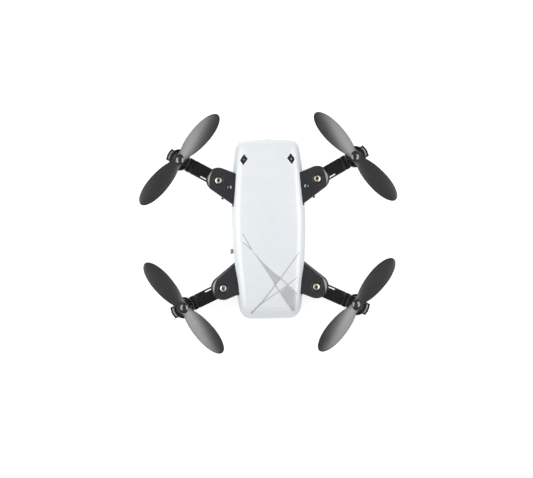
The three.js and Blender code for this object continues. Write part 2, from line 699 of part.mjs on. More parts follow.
function motorRotor() {
  return turned([
    [0, 4.0], [SHAFT_RADIUS, 4.0], [SHAFT_RADIUS, 4.6], [COIL_RADIUS, 4.6],
    [COIL_RADIUS, 15.6], [SHAFT_RADIUS, 15.6], [SHAFT_RADIUS, HUB_HIGH_Z - 0.3], [0, HUB_HIGH_Z - 0.3],
  ]).translate([ARM_LENGTH, 0, 0]);
}

// Width of the blade, seen from above, at a distance from the motor shaft.
function bladeChord(radius) {
  const reach = radius > BLADE_WIDEST ? BLADE_TIP + 0.05 - BLADE_WIDEST : BLADE_INWARD_REACH;
  return BLADE_CHORD * Math.sqrt(1 - ((radius - BLADE_WIDEST) / reach) ** 2);
}

// A blade along +X whose leading edge is on the +Y side when spin is 1.
function propellerBlade(spin) {
  const stations = 10;
  const chordSteps = 4;
  const rings = [];
  for (let i = 0; i <= stations; i += 1) {
    const outward = Math.sin((i / stations) * (Math.PI / 2));
    const radius = BLADE_ROOT + (BLADE_TIP - BLADE_ROOT) * outward;
    const chord = Math.max(0.5, bladeChord(Math.max(radius, 3)));
    const pitch = radians(20 - 10 * (radius / BLADE_TIP));
    const thick = 0.9 - 0.45 * (radius / BLADE_TIP);
    const ring = [];
    const place = (across, offset) => {
      const arch = 0.045 * chord * (1 - 4 * across ** 2);
      const y = chord * across;
      ring.push([radius, spin * y, BLADE_Z + y * Math.tan(pitch) + arch + offset]);
    };
    for (let k = 0; k <= chordSteps; k += 1) {
      const across = -0.5 + k / chordSteps;
      place(across, thick * (0.16 + 0.34 * (1 - 4 * across ** 2)));
    }
    for (let k = chordSteps; k >= 0; k -= 1) {
      const across = -0.5 + k / chordSteps;
      place(across, -thick * (0.16 + 0.34 * (1 - 4 * across ** 2)));
    }
    rings.push(ring);
  }
  const count = rings[0].length;
  const index = [];
  const quad = (a, b, c, d) => index.push(a, b, c, a, c, d);
  for (let i = 0; i < stations; i += 1) {
    for (let k = 0; k < count; k += 1) {
      const next = (k + 1) % count;
      quad(i * count + k, i * count + next, (i + 1) * count + next, (i + 1) * count + k);
    }
  }
  const last = stations * count;
  for (let k = 0; k < chordSteps; k += 1) {
    const across = count - 1 - k;
    quad(across, across - 1, k + 1, k);
    quad(last + k, last + k + 1, last + across - 1, last + across);
  }
  if (spin > 0) index.reverse();
  const geometry = new THREE.BufferGeometry();
  geometry.setAttribute('position', new THREE.Float32BufferAttribute(rings.flat(2), 3));
  geometry.setIndex(index);
  return geometry;
}

function propeller(spin) {
  const hub = turned([
    [0, HUB_LOW_Z], [HUB_RADIUS, HUB_LOW_Z], [HUB_RADIUS, HUB_HIGH_Z - 1.2],
    [HUB_RADIUS - 0.5, HUB_HIGH_Z - 0.4], [HUB_RADIUS - 1.4, HUB_HIGH_Z], [0, HUB_HIGH_Z],
  ], MEDIUM);
  const first = solidOf(propellerBlade(spin));
  const second = solidOf(propellerBlade(spin).rotateZ(Math.PI));
  const bore = post(0, 0, 0, THROUGH, SHAFT_RADIUS + 0.15, COARSE);
  return addAll(hub, first, second).subtract(bore);
}

function addArm(arm) {
  const group = new THREE.Group();
  const outward = arm.side > 0 ? arm.end * arm.sweep : 180 - arm.end * arm.sweep;
  const foldSide = -arm.side * arm.end;
  group.position.set(...arm.pivot, arm.lift);
  group.rotation.z = radians(outward);
  addPart(group, `arm_${arm.name}`, armBeam(foldSide), 'black');
  addPart(group, `arm_cover_${arm.name}`, armCover(), 'black');
  addPart(group, `motor_mount_${arm.name}`, motorMount(arm.lift), 'black');
  addPart(group, `motor_can_${arm.name}`, motorCan(), 'brass');
  addPart(group, `motor_cap_${arm.name}`, motorCap(), 'black');
  addPart(group, `motor_lead_${arm.name}`, motorLead(), 'wire');
  addPart(group, `rotor_${arm.name}`, motorRotor(), 'steel');
  const rotor = new THREE.Group();
  const bladeLine = -arm.side * arm.end * (arm.end > 0 ? FRONT_BLADE_REST : REAR_BLADE_REST);
  const spin = arm.side * arm.end;
  rotor.position.x = ARM_LENGTH;
  rotor.rotation.z = radians(bladeLine - outward);
  addPart(rotor, `propeller_${arm.name}`, propeller(spin), 'blade');
  group.add(rotor);
  drone.add(group);
}

addBody();
ARMS.forEach(addArm);

export default drone;
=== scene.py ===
import json
import math

import bmesh
import bpy
from mathutils import Matrix, Vector
from mathutils.bvhtree import BVHTree


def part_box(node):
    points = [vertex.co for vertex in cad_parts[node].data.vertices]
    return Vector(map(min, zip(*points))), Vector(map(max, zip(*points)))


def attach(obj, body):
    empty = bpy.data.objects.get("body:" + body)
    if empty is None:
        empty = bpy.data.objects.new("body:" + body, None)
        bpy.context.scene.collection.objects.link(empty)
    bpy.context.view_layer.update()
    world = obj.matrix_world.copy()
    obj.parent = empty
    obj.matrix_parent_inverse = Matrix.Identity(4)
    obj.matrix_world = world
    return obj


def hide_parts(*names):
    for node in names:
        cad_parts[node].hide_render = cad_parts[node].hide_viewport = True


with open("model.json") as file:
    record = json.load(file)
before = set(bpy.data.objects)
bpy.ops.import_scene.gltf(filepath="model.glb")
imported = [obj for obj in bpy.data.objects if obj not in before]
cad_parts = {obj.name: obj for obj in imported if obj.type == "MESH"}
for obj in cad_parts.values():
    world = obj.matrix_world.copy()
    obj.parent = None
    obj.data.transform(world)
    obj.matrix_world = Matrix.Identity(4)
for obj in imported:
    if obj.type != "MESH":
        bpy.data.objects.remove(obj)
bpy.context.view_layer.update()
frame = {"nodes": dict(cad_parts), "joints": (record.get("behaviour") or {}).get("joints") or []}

# Shapes are worked out in millimetres, in the row frame: +Y is the nose, z = 0 the ground.
MM = 0.001


def box(node):
    """A node's lowest and highest corners, in millimetres."""
    low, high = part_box(node)
    return low / MM, high / MM


def heights(node):
    return (corner.z for corner in box(node))


def middle_of(node):
    low, high = box(node)
    return (low + high) / 2


# The body's outline.
(_, TAIL_Y, _), (WIDEST_X, NOSE_Y, _) = box("top_shell")
MIDDLE_Y = (NOSE_Y + TAIL_Y) / 2
WIDEST_Y = 5.0
WALL = 1.1

# The crown is CROWN_Z high at CROWN_Y. It falls towards nose and tail with the square of the
# distance, and by CROWN_DOME to each side.
CROWN_Z = 19.35
CROWN_Y = 8.0
CROWN_FALL_FRONT = 0.0015
CROWN_FALL_REAR = 0.0026
CROWN_DOME = 0.3
TOP_ROUND = 4.5
PARTING_Z = 9.0
BOTTOM_Z = box("bottom_shell")[0].z
BOTTOM_ROUND = 3.0

# The ears stand EAR_SHIFT nearer the nose than in the CAD. Slopes are in degrees.
EAR_SHIFT = 0.3
EAR_RADIUS = 5.5
LOWER_EAR_RADIUS = 5.1
EAR_THICK = 1.4
EAR_END_SLOPE = 22
EAR_MIDDLE_SLOPE_FRONT = 36
EAR_MIDDLE_SLOPE_REAR = 39
EAR_INNER_X = 10.4
ROOT_X = 15.2
ARCH_LEVEL = 8  # the row up the canopy's side that is the top of its cut-outs

# The arms, about their pivots.
TOUCH_GAP = 0.3
ARM_HALF_WIDTH = 3.2
BEAM_END = 13.0
MOTOR_STEPS = 72

JOINTS = {joint["name"]: joint for joint in frame["joints"]}


# --- materials

GRAIN_DEPTH = 0.00003  # metres


def new_material(name, color, roughness, metallic=0.0, coat=0.0):
    """A material, and its Principled shader."""
    mat = bpy.data.materials.new(name)
    mat.use_nodes = True
    shader = mat.node_tree.nodes["Principled BSDF"]
    for socket, value in (("Base Color", (*color, 1)), ("Roughness", roughness),
                          ("Metallic", metallic), ("Coat Weight", coat),
                          ("Coat Roughness", 0.12), ("IOR", 1.5)):
        shader.inputs[socket].default_value = value
    return mat, shader


def add_noise(tree, scale, detail):
    noise = tree.nodes.new("ShaderNodeTexNoise")
    for socket, value in (("Scale", scale), ("Detail", detail), ("Roughness", 0.55)):
        noise.inputs[socket].default_value = value
    coordinates = tree.nodes.new("ShaderNodeTexCoord")
    tree.links.new(coordinates.outputs["Object"], noise.inputs["Vector"])
    return noise.outputs["Fac"]


def add_node(tree, kind, source, socket, result, target, **values):
    """A node that takes source in and gives result to target."""
    node = tree.nodes.new(kind)
    for name, value in values.items():
        node.inputs[name.replace("_", " ")].default_value = value
    tree.links.new(source, node.inputs[socket])
    tree.links.new(node.outputs[result], target)
    return node


def surface(name, low, high, cloud, rough, grain=None, metallic=0.0, coat=0.0):
    """A material whose colour varies from low to high. cloud is that variation's noise, as
    (scale, detail). rough is one roughness, or (low, high, scale, detail). grain is the bump's
    (scale, detail, strength, distance)."""
    varied = isinstance(rough, tuple)
    mat, shader = new_material(name, low, rough[0] if varied else rough, metallic, coat)
    tree, inputs = mat.node_tree, shader.inputs
    ramp = add_node(tree, "ShaderNodeValToRGB", add_noise(tree, *cloud), "Fac", "Color",
                    inputs["Base Color"]).color_ramp
    for element, position, color in zip(ramp.elements, (0.3, 0.7), (low, high)):
        element.position = position
        element.color = (*color, 1)
    if varied:
        add_node(tree, "ShaderNodeMapRange", add_noise(tree, *rough[2:]), "Value", "Result",
                 inputs["Roughness"], To_Min=rough[0], To_Max=rough[1])
    if grain:
        add_node(tree, "ShaderNodeBump", add_noise(tree, *grain[:2]), "Height", "Normal",
                 inputs["Normal"], Strength=grain[2], Distance=grain[3])
    return mat


def plastic(name, low, high, rough_low, rough_high, grain, strength):
    """Injection-moulded plastic: faint cloudiness, fine spark-eroded grain, uneven polish."""
    return surface(name, low, high, (90, 3), (rough_low, rough_high, 260, 5),
                   (grain, 2, strength, GRAIN_DEPTH))


def metal(name, low, high, rough_low, rough_high):
    return surface(name, low, high, (500, 4), (rough_low, rough_high, 1500, 3),
                   (2600, 2, 0.15, GRAIN_DEPTH), metallic=1.0)


PROPELLER_BLACK = ((0.006, 0.006, 0.007), (0.009, 0.009, 0.010))
MATERIALS = {
    "white": plastic("white_shell", (0.80, 0.83, 0.85), (0.83, 0.86, 0.88), 0.50, 0.58,
                     5200, 0.10),
    # The lamp rims: the shell's white plastic made whiter, a painted highlight for the bright ring
    # round each light opening.
    "rim": plastic("rim_white_painted_highlight", (0.92, 0.93, 0.94), (0.94, 0.95, 0.96), 0.30, 0.40, 5200, 0.06),
    "black": plastic("black_frame", (0.007, 0.0068, 0.009), (0.011, 0.0105, 0.014), 0.22, 0.32,
                     4200, 0.1),
    # Painted shade: the frame's black plastic again, made darker for the arms and motor holders.
    "arm": plastic("arm_black", (0.003, 0.003, 0.004), (0.005, 0.005, 0.006), 0.20, 0.28,
                   4200, 0.12),
    "hub": plastic("hub_black", *PROPELLER_BLACK, 0.18, 0.24, 3000, 0.05),
    "dark": plastic("black_dark", (0.010, 0.010, 0.011), (0.014, 0.014, 0.015), 0.42, 0.55,
                    4200, 0.25),
    "blade": plastic("propeller_plastic", *PROPELLER_BLACK, 0.27, 0.33, 3000, 0.06),
    "print": plastic("print_grey", (0.49, 0.49, 0.495), (0.54, 0.54, 0.545), 0.40, 0.50,
                     6000, 0.10),
    "wire": plastic("wire_silicone", (0.26, 0.016, 0.012), (0.33, 0.024, 0.018), 0.38, 0.5,
                    2500, 0.2),
    "knob": plastic("knob_tan", (0.26, 0.23, 0.13), (0.34, 0.30, 0.18), 0.3, 0.42, 3000, 0.2),
    "nickel": metal("nickel", (0.23, 0.21, 0.18), (0.33, 0.30, 0.26), 0.34, 0.44),
    # Painted shade: dark brown for the faces inside each screw head's cross recess.
    "recess": metal("screw_recess_painted_shade", (0.05, 0.03, 0.02), (0.09, 0.05, 0.035), 0.4, 0.55),
    "can": metal("motor_gold", (0.013, 0.0112, 0.0076), (0.022, 0.0192, 0.0126), 0.34, 0.48),
    "steel": metal("shaft_steel", (0.42, 0.42, 0.42), (0.56, 0.56, 0.56), 0.2, 0.3),
    "lamp": surface("lamp_epoxy", (0.05, 0.065, 0.06), (0.10, 0.125, 0.11), (700, 3), 0.14,
                    (1800, 2, 0.05, GRAIN_DEPTH)),
    "lens": surface("lens_glass", (0.010, 0.012, 0.020), (0.020, 0.014, 0.030), (300, 2), 0.05,
                    coat=1.0),
    "board": surface("circuit_board", (0.012, 0.085, 0.035), (0.03, 0.15, 0.07), (350, 6), 0.35,
                     (900, 5, 0.3, 0.00005)),
    "foil": surface("battery_foil", (0.52, 0.54, 0.57), (0.66, 0.68, 0.70), (120, 5), 0.3,
                    (180, 5, 0.5, 0.0002), metallic=0.8),
}
# The arms' painted-shade copy of the frame plastic also reflects less; the lamp's epoxy lets some
# light through.
for look, socket, value in (("arm", "Specular IOR Level", 0.22),
                            ("lamp", "Transmission Weight", 0.25)):
    MATERIALS[look].node_tree.nodes["Principled BSDF"].inputs[socket].default_value = value


# --- mesh helpers

SHARP_ANGLE = 32
BEVEL_ANGLE = 50


def add_object(name, data):
    obj = bpy.data.objects.new(name, data)
    bpy.context.scene.collection.objects.link(obj)
    return obj


def mesh_object(name, verts, faces, material, matrix=None):
    """An object from points in millimetres."""
    mesh = bpy.data.meshes.new(name)
    mesh.from_pydata([Vector(v) * MM for v in verts], [], faces)
    mesh.materials.append(MATERIALS[material])
    if matrix is not None:
        mesh.transform(matrix)
    obj = add_object(name, mesh)
    clean(obj)
    return obj


def clean(obj):
    """Merges doubled points and turns the faces outwards."""
    bm = bmesh.new()
    bm.from_mesh(obj.data)
    bmesh.ops.remove_doubles(bm, verts=bm.verts, dist=0.002 * MM)
    bmesh.ops.dissolve_degenerate(bm, edges=bm.edges, dist=0.0005 * MM)
    bmesh.ops.recalc_face_normals(bm, faces=bm.faces)
    bm.to_mesh(obj.data)
    bm.free()


def apply_modifiers(obj):
    depsgraph = bpy.context.evaluated_depsgraph_get()
    bpy.context.view_layer.update()
    mesh = bpy.data.meshes.new_from_object(obj.evaluated_get(depsgraph))
    old = obj.data
    obj.modifiers.clear()
    obj.data = mesh
    bpy.data.meshes.remove(old)


def cut(obj, *tools):
    """Cuts each tool out of obj. The tools go away."""
    for tool in tools:
        modifier = obj.modifiers.new("cut", "BOOLEAN")
        modifier.operation = "DIFFERENCE"
        modifier.solver = "EXACT"
        modifier.object = tool
        apply_modifiers(obj)
        bpy.data.objects.remove(tool, do_unlink=True)


def soften(obj, width):
    """Rounds obj's sharp edges."""
    modifier = obj.modifiers.new("edges", "BEVEL")
    modifier.width = width * MM
    modifier.segments = 2
    modifier.limit_method = "ANGLE"
    modifier.angle_limit = math.radians(BEVEL_ANGLE)
    apply_modifiers(obj)


def join(name, *objects):
    """One object from several."""
    first = objects[0]
    for other in objects[1:]:
        slots, materials = [], first.data.materials
        for material in other.data.materials:
            if material.name not in materials:
                materials.append(material)
            slots.append(materials.find(material.name))
        bm = bmesh.new()
        bm.from_mesh(first.data)
        kept = len(bm.faces)
        bm.from_mesh(other.data)
        bm.faces.ensure_lookup_table()
        for face in bm.faces[kept:]:
            face.material_index = slots[min(face.material_index, len(slots) - 1)]
        bm.to_mesh(first.data)
        bm.free()
        bpy.data.objects.remove(other, do_unlink=True)
    first.name = name
    first.data.name = name
    return first


def place(obj, slot, *nodes, body="fuselage"):
    """Shades obj, hangs it on its body's empty and hides the nodes that it stands for. slot is not
    used.
    """
    polygons = obj.data.polygons
    polygons.foreach_set("use_smooth", [True] * len(polygons))
    obj.data.set_sharp_from_angle(angle=math.radians(SHARP_ANGLE))
    obj.modifiers.new("normals", "WEIGHTED_NORMAL").keep_sharp = True
    apply_modifiers(obj)
    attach(obj, body)
    if nodes:
        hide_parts(*nodes)


def polar(radius, degrees, x=0.0, y=0.0):
    """The point at radius and degrees round (x, y)."""
    angle = math.radians(degrees)
    return x + radius * math.cos(angle), y + radius * math.sin(angle)


def arc(radius, start, end, steps, x=0.0, y=0.0):
    """Points round (x, y) from start to end, in degrees."""
    return [polar(radius, start + (end - start) * k / steps, x, y) for k in range(steps + 1)]


def circle(x, y, radius):
    return arc(radius, 0, 360, 48, x, y)[:-1]


def ring_faces(rings, count, closed=False):
    """Quads between successive rings of count points each."""
    faces = []
    for i in range(rings if closed else rings - 1):
        j = (i + 1) % rings
        for k in range(count):
            m = (k + 1) % count
            faces.append((i * count + k, i * count + m, j * count + m, j * count + k))
    return faces


def tube_faces(rings, count):
    """The faces of a tube with flat ends."""
    end = (rings - 1) * count
    return ring_faces(rings, count) + [tuple(reversed(range(count))),
                                       tuple(range(end, end + count))]


def thickened(faces, offset, ends=0):
    """Faces with their back, whose points come offset later, and with walls along the open
    edges, though not among the first or the last ends points."""
    edges = {}
    for loop in faces:
        for start, end in zip(loop, loop[1:] + loop[:1]):
            key = (min(start, end), max(start, end))
            edges[key] = None if key in edges else (start, end)
    return (faces + [tuple(offset + v for v in reversed(loop)) for loop in faces]
            + [(end, start, offset + start, offset + end)
               for start, end in filter(None, edges.values())
               if max(start, end) >= ends and min(start, end) < offset - ends])


def lathe(name, profile, material, centre=(0, 0, 0), segments=64, matrix=None):
    """A solid of revolution about Z from (radius, height) pairs. A profile that starts off the
    axis is a closed ring."""
    verts = [(*polar(radius, 360 * k / segments, centre[0], centre[1]), centre[2] + height)
             for radius, height in profile for k in range(segments)]
    faces = ring_faces(len(profile), segments, closed=profile[0][0] > 1e-6)
    return mesh_object(name, verts, faces, material, matrix)


def rounded(profile, radius, closed=False):
    """The profile with its corners rounded by up to radius. An open one keeps its ends."""
    points = [Vector(p) for p in profile]
    out = []
    for i, corner in enumerate(points):
        back, ahead = points[i - 1] - corner, points[(i + 1) % len(points)] - corner
        reach = min(radius, back.length * 0.45, ahead.length * 0.45)
        if (not closed and i in (0, len(points) - 1) or reach < 1e-4
                or back.angle(ahead, math.pi) > math.radians(172)):
            out.append(corner)
            continue
        start = corner + back.normalized() * reach
        end = corner + ahead.normalized() * reach
        out += [(1 - t) ** 2 * start + 2 * t * (1 - t) * corner + t * t * end
                for t in (0, 0.25, 0.5, 0.75, 1)]
    return [tuple(p) for p in out]


def inset_outline(points, distance, spread=None):
    """A closed outline moved inwards, at each point by its share in spread. Points run
    anticlockwise."""
    out = []
    count = len(points)
    for i in range(count):
        a, b, c = (Vector(points[(i + s) % count]) for s in (-1, 0, 1))
        n1 = Vector(((b - a).y, -(b - a).x)).normalized()
        n2 = Vector(((c - b).y, -(c - b).x)).normalized()
        mitre = (n1 + n2) / max(0.35, 1 + n1.dot(n2))
        reach = distance * (spread[i] if spread else 1)
        out.append((b.x - mitre.x * reach, b.y - mitre.y * reach))
    return out


def slab(name, outline, z0, z1, material, top=0.3, bottom=0.3, steps=4, matrix=None,
         shoulder=None, spread=None):
    """A plate of any outline with rounded upper and lower edges. A shoulder, given as
    (inset, drop) pairs from the side inwards, takes the place of the upper rounding."""
    if sum(a[0] * b[1] - b[0] * a[1] for a, b in zip(outline, outline[1:] + outline[:1])) < 0:
        outline = outline[::-1]
        spread = spread[::-1] if spread else None
    angles = [math.pi / 2 * k / steps for k in range(steps + 1)]
    if shoulder is None:
        shoulder = [(top * (1 - math.cos(a)), top * (1 - math.sin(a))) for a in angles]
    rings = [(bottom * (1 - math.sin(a)), z0 + bottom * (1 - math.cos(a))) for a in angles]
    rings += [(distance, z1 - drop) for distance, drop in shoulder]
    verts = [(x, y, z) for distance, z in rings
             for x, y in inset_outline(outline, distance, spread)]
    return mesh_object(name, verts, tube_faces(len(rings), len(outline)), material, matrix)


def block(name, low, high, material, edge=0.2, matrix=None):
    """A box with rounded edges. Its two x may come in either order."""
    outline = rounded_rectangle(*sorted((low[0], high[0])), low[1], high[1], edge)
    return slab(name, outline, low[2], high[2], material, edge * 0.9, edge * 0.9, 3, matrix)


def rounded_rectangle(x0, x1, y0, y1, radius):
    points = []
    for x, y, start in ((x1 - radius, y0 + radius, -90), (x1 - radius, y1 - radius, 0),
                        (x0 + radius, y1 - radius, 90), (x0 + radius, y0 + radius, 180)):
        points += arc(radius, start, start + 90, 4, x, y)
    return points


def drill(x, y, z0, z1, radius):
    """A plain round cutter."""
    return slab("drill", circle(x, y, radius), z0, z1, "dark", 0, 0, 1)


# --- body shell shapes

def bezier(points, t):
    points = [Vector(p) for p in points]
    while len(points) > 1:
        points = [a.lerp(b, t) for a, b in zip(points, points[1:])]
    return points[0]


def outline_stations(breaks):
    """The right half of the body outline, nose to tail, with a point at each y in breaks."""
    curves = (  # steps and control points; each curve starts where the last one ends
        (12, (6.5, NOSE_Y - 0.1), (10.8, NOSE_Y - 0.65)),
        (12, (13.9, NOSE_Y - 1.1), (14.3, NOSE_Y - 4.9)),
        (34, (15.2, 31.5), (16.3, 16), (WIDEST_X, WIDEST_Y)),
        (38, (WIDEST_X, -8), (14.9, -20), (14.1, TAIL_Y + 6.9)),
        (12, (13.5, TAIL_Y + 0.6), (9, TAIL_Y + 0.08)),
        (8, (4, TAIL_Y), (0, TAIL_Y)),
    )
    stations, start = [], (0, NOSE_Y)
    for steps, *control in curves:
        control.insert(0, start)
        start = control[-1]
        places = [k / steps for k in range(steps)]
        for y in breaks:
            if start[1] < y < control[0][1]:
                low, high = 0.0, 1.0
                for _ in range(40):
                    middle = (low + high) / 2
                    above = bezier(control, middle).y > y
                    low, high = (middle, high) if above else (low, middle)
                places = [t for t in places if abs(bezier(control, t).y - y) > 0.45] + [low]
        stations += [bezier(control, t) for t in sorted(places)]
    return stations + [Vector(start)]


def crown_height(y):
    fall = CROWN_FALL_FRONT if y > CROWN_Y else CROWN_FALL_REAR
    return CROWN_Z - fall * (y - CROWN_Y) ** 2


def pulled_in(point, distance):
    """An outline point moved inwards, by distance at the widest place and at the nose."""
    return Vector((point.x * (1 - distance / WIDEST_X),
                   MIDDLE_Y + (point.y - MIDDLE_Y) * (1 - distance / (NOSE_Y - MIDDLE_Y))))


def shell_row(edge, levels, round_size, cap, dome, arc_steps, crown_steps):
    """One cross row of a shell, from its right rim over the cap to its left rim."""
    def over_edge(angle):
        x, y = pulled_in(edge, (1 - math.cos(angle)) * round_size)
        return x, y, cap(y) - dome - round_size * (1 - math.sin(angle))

    right = [(edge.x, edge.y, value) if kind == "z" else over_edge(value)
             for kind, value in levels]
    start = levels[-1][1]
    right += [over_edge(start + (math.pi / 2 - start) * k / arc_steps)
              for k in range(1, arc_steps + 1)]
    x, y, _ = right[-1]
    crown = []
    for k in range(1, crown_steps):
        across = 1 - 2 * k / crown_steps
        crown.append((x * across, y, cap(y) - dome * across ** 2))
    return right + crown + [(-px, py, pz) for px, py, pz in reversed(right)]


def hollow_shell(name, stations, levels, round_size, cap, dome, steps, keep, material, flip=1):
    """A shell with its wall. levels(y, round_size) gives the points up the side, and
    keep(i, k, columns) says whether the face at station i and column k is there."""
    outer, inner = [], []
    for station in stations:
        outer.append(shell_row(station, levels(station.y, round_size), round_size, cap, dome,
                               *steps))
        small = round_size - WALL
        inner.append(shell_row(pulled_in(station, WALL), levels(station.y, small), small,
                               lambda y: cap(y) - WALL, dome, *steps))
    columns = len(outer[0])
    verts = [(x, y, flip * z) for row in outer + inner for x, y, z in row]
    offset = len(outer) * columns
    faces = []
    for i in range(len(outer) - 1):
        for k in range(columns - 1):
            if keep(i, k, columns):
                a = i * columns + k
                faces.append((a, a + 1, a + 1 + columns, a + columns))
    faces = thickened(faces, offset, columns)
    return mesh_object(name, verts, faces, material)


# --- arms as seen by the body

# An ear's shoulder is widest at SHOULDER_PEAK degrees and fades over SHOULDER_REACH degrees.
SHOULDER_MOST = 1.4
SHOULDER_PEAK = 12
SHOULDER_REACH = 55
SHOULDER_LEAST = 0.15
SHOULDER_LEAST_REAR = 0.4


def shift(x, y, z=0.0):
    """A move in millimetres."""
    return Matrix.Translation(Vector((x, y, z)) * MM)


class Arm:
    """Where one arm sits, read from the frame."""

    def __init__(self, name):
        self.name = name
        self.front = name.startswith("front")
        self.side = 1 if name.endswith("right") else -1
        self.end = 1 if self.front else -1
        self.fold_side = -self.side * self.end
        self.pivot = Vector(JOINTS["fold_" + name]["pos_m"]).xy / MM
        self.motor = Vector(JOINTS["spin_" + name]["pos_m"]).xy / MM
        along = self.motor - self.pivot
        self.length = along.length
        self.matrix = shift(*self.pivot) @ Matrix.Rotation(math.atan2(along.y, along.x), 4, "Z")
        self.low, self.high = heights("arm_" + name)
        self.can_low, self.can_high = heights("motor_can_" + name)
        self.can_high -= 0.3
        self.upper_ear = self.high + TOUCH_GAP
        self.upper_ear_top = self.upper_ear + EAR_THICK
        self.lower_ear = self.low - TOUCH_GAP - EAR_THICK
        self.lower_ear_top = self.lower_ear + EAR_THICK

    def ear_outline(self, radius, inner_x, root_x=14.0):
        """The ear in plan. It is drawn for the front right ear and mirrored to the others."""
        middle_slope = EAR_MIDDLE_SLOPE_FRONT if self.front else EAR_MIDDLE_SLOPE_REAR
        edge = arc(radius, middle_slope - 90, EAR_END_SLOPE + 90, 40,
                   abs(self.pivot.x), abs(self.pivot.y))
        low, high = (y - (x - root_x) * math.tan(math.radians(slope))
                     for (x, y), slope in ((edge[0], middle_slope), (edge[-1], EAR_END_SLOPE)))
        points = [(inner_x, low), (root_x, low), *edge, (root_x, high), (inner_x, high)]
        return [(self.side * x, self.end * y + EAR_SHIFT) for x, y in points]

    def shoulder_spread(self):
        """The shoulder's share at each point of the upper ear's outline. A rear ear keeps
        more of it on its nose side."""
        shares = []
        for x, y in self.ear_outline(EAR_RADIUS, EAR_INNER_X):
            angle = math.degrees(math.atan2(y - self.pivot.y - EAR_SHIFT,
                                            self.side * (x - self.pivot.x)))
            least = SHOULDER_LEAST_REAR if self.end < 0 < angle else SHOULDER_LEAST
            fade = 1 - ((angle - SHOULDER_PEAK) / SHOULDER_REACH) ** 2
            shares.append(max(least, SHOULDER_MOST * fade))
        return shares

    def block(self, name, low, high, edge):
        """A box along the arm, in its own axes."""
        return block(name, low, high, "arm", edge, self.matrix)

    def channel(self, start, end, low):
        """The cutter for the wire's channel under the arm."""
        return self.block("tool", (start, -1.3, low), (end, 1.3, self.low + 2.6), 0.1)

    def place(self, obj, slot, node):
        place(obj, slot, node + "_" + self.name, body="arm_unit_" + self.name)

    def root_span(self):
        """Lowest and highest y of the ear where it enters the body."""
        ys = [y for x, y in self.ear_outline(EAR_RADIUS, 12, ROOT_X) if abs(x) < ROOT_X + 0.05]
        return min(ys), max(ys)


ARMS = [Arm(name) for name in ("front_left", "front_right", "rear_left", "rear_right")]
FRONT_ARM, REAR_ARM = ARMS[1], ARMS[3]
LAMP_X = 10.5
LAMP_Y = 32.6
SCREW_PLACES = [middle_of(f"shell_screw_{i}").xy for i in range(1, 5)]

# It turns a lathe's axis towards the nose, at the camera's height.
CAMERA_MATRIX = (shift(0, 0, middle_of("camera_barrel").z)
                 @ Matrix.Rotation(-math.pi / 2, 4, "X"))


# --- canopy

# The tops of the cut-outs clear the ears by ARCH_GAP, and by ARCH_RISE more at ARCH_Y, within
# ARCH_REACH. Their level steps up between the ears from STEP_Y on, and falls beyond ENDS_Y.
ARCH_GAP_FRONT = 0.02
ARCH_GAP_REAR = 0.2
ARCH_RISE_FRONT = 0.25
ARCH_RISE_REAR = 0.8
ARCH_Y = 20
ARCH_REACH = 7
STEP_Y = -12
STEP_LENGTH = 22
ENDS_Y = 30
NOSE_FALL = 0.12
TAIL_FALL = 0.22
FOOT_HEIGHT = 0.9
CUTOUT_MARGIN = 0.12


def canopy_levels(y, round_size):
    """Places up the canopy's side. The one at ARCH_LEVEL follows the tops of the cut-outs."""
    front = FRONT_ARM.upper_ear_top + ARCH_GAP_FRONT
    rear = REAR_ARM.upper_ear_top + ARCH_GAP_REAR
    level = rear + (front - rear) * min(1.0, max(0.0, (y - STEP_Y) / STEP_LENGTH))
    for middle, rise in ((ARCH_Y, ARCH_RISE_FRONT), (-ARCH_Y, ARCH_RISE_REAR)):
        level += rise * max(0.0, 1 - ((y - middle) / ARCH_REACH) ** 2)
    level -= NOSE_FALL * max(0.0, y - ENDS_Y) + TAIL_FALL * max(0.0, -ENDS_Y - y)
    foot = PARTING_Z + FOOT_HEIGHT
    base = crown_height(y) - CROWN_DOME - TOP_ROUND
    start = math.asin(min(0.9, max(0.05, (level - base) / round_size)))
    return ([("z", PARTING_Z), ("z", foot)]
            + [("z", foot + (base - foot) * k / 3) for k in (1, 2)]
            + [("angle", start * k / 4) for k in range(ARCH_LEVEL - 3)])


def make_canopy():
    spans = [arm.root_span() for arm in (FRONT_ARM, REAR_ARM)]
    spans = [(low - CUTOUT_MARGIN, high + CUTOUT_MARGIN) for low, high in spans]
    stations = outline_stations([y for span in spans for y in span])

    def keep(i, k, columns):
        middle = (stations[i].y + stations[i + 1].y) / 2
        on_side = k < ARCH_LEVEL or k >= columns - 1 - ARCH_LEVEL
        return not (on_side and any(low < middle < high for low, high in spans))

    return hollow_shell("canopy", stations, canopy_levels, TOP_ROUND, crown_height,
                        CROWN_DOME, (9, 14), keep, "white")


def diamond(side, margin, radius):
    """The light opening's outline, grown by margin, with rounded corners."""
    corners = ((-0.05, 2.5), (-1.7, 0.25), (0.35, -2.5), (1.7, -0.25))
    grow = 1 + margin / math.hypot(1.2, 1.2)
    return rounded([(side * (LAMP_X + x * grow), LAMP_Y + y * grow) for x, y in corners],
                   radius, closed=True)


def surface_finder(obj):
    """Gives the height of obj's upper surface, in millimetres, above a point in plan."""
    bm = bmesh.new()
    bm.from_mesh(obj.data)
    tree = BVHTree.FromBMesh(bm)
    bm.free()

    def height(x, y):
        hit = tree.ray_cast(Vector((x * MM, y * MM, 0.1)), Vector((0, 0, -1)))
        return hit[0].z / MM if hit[0] else PARTING_Z

    return height


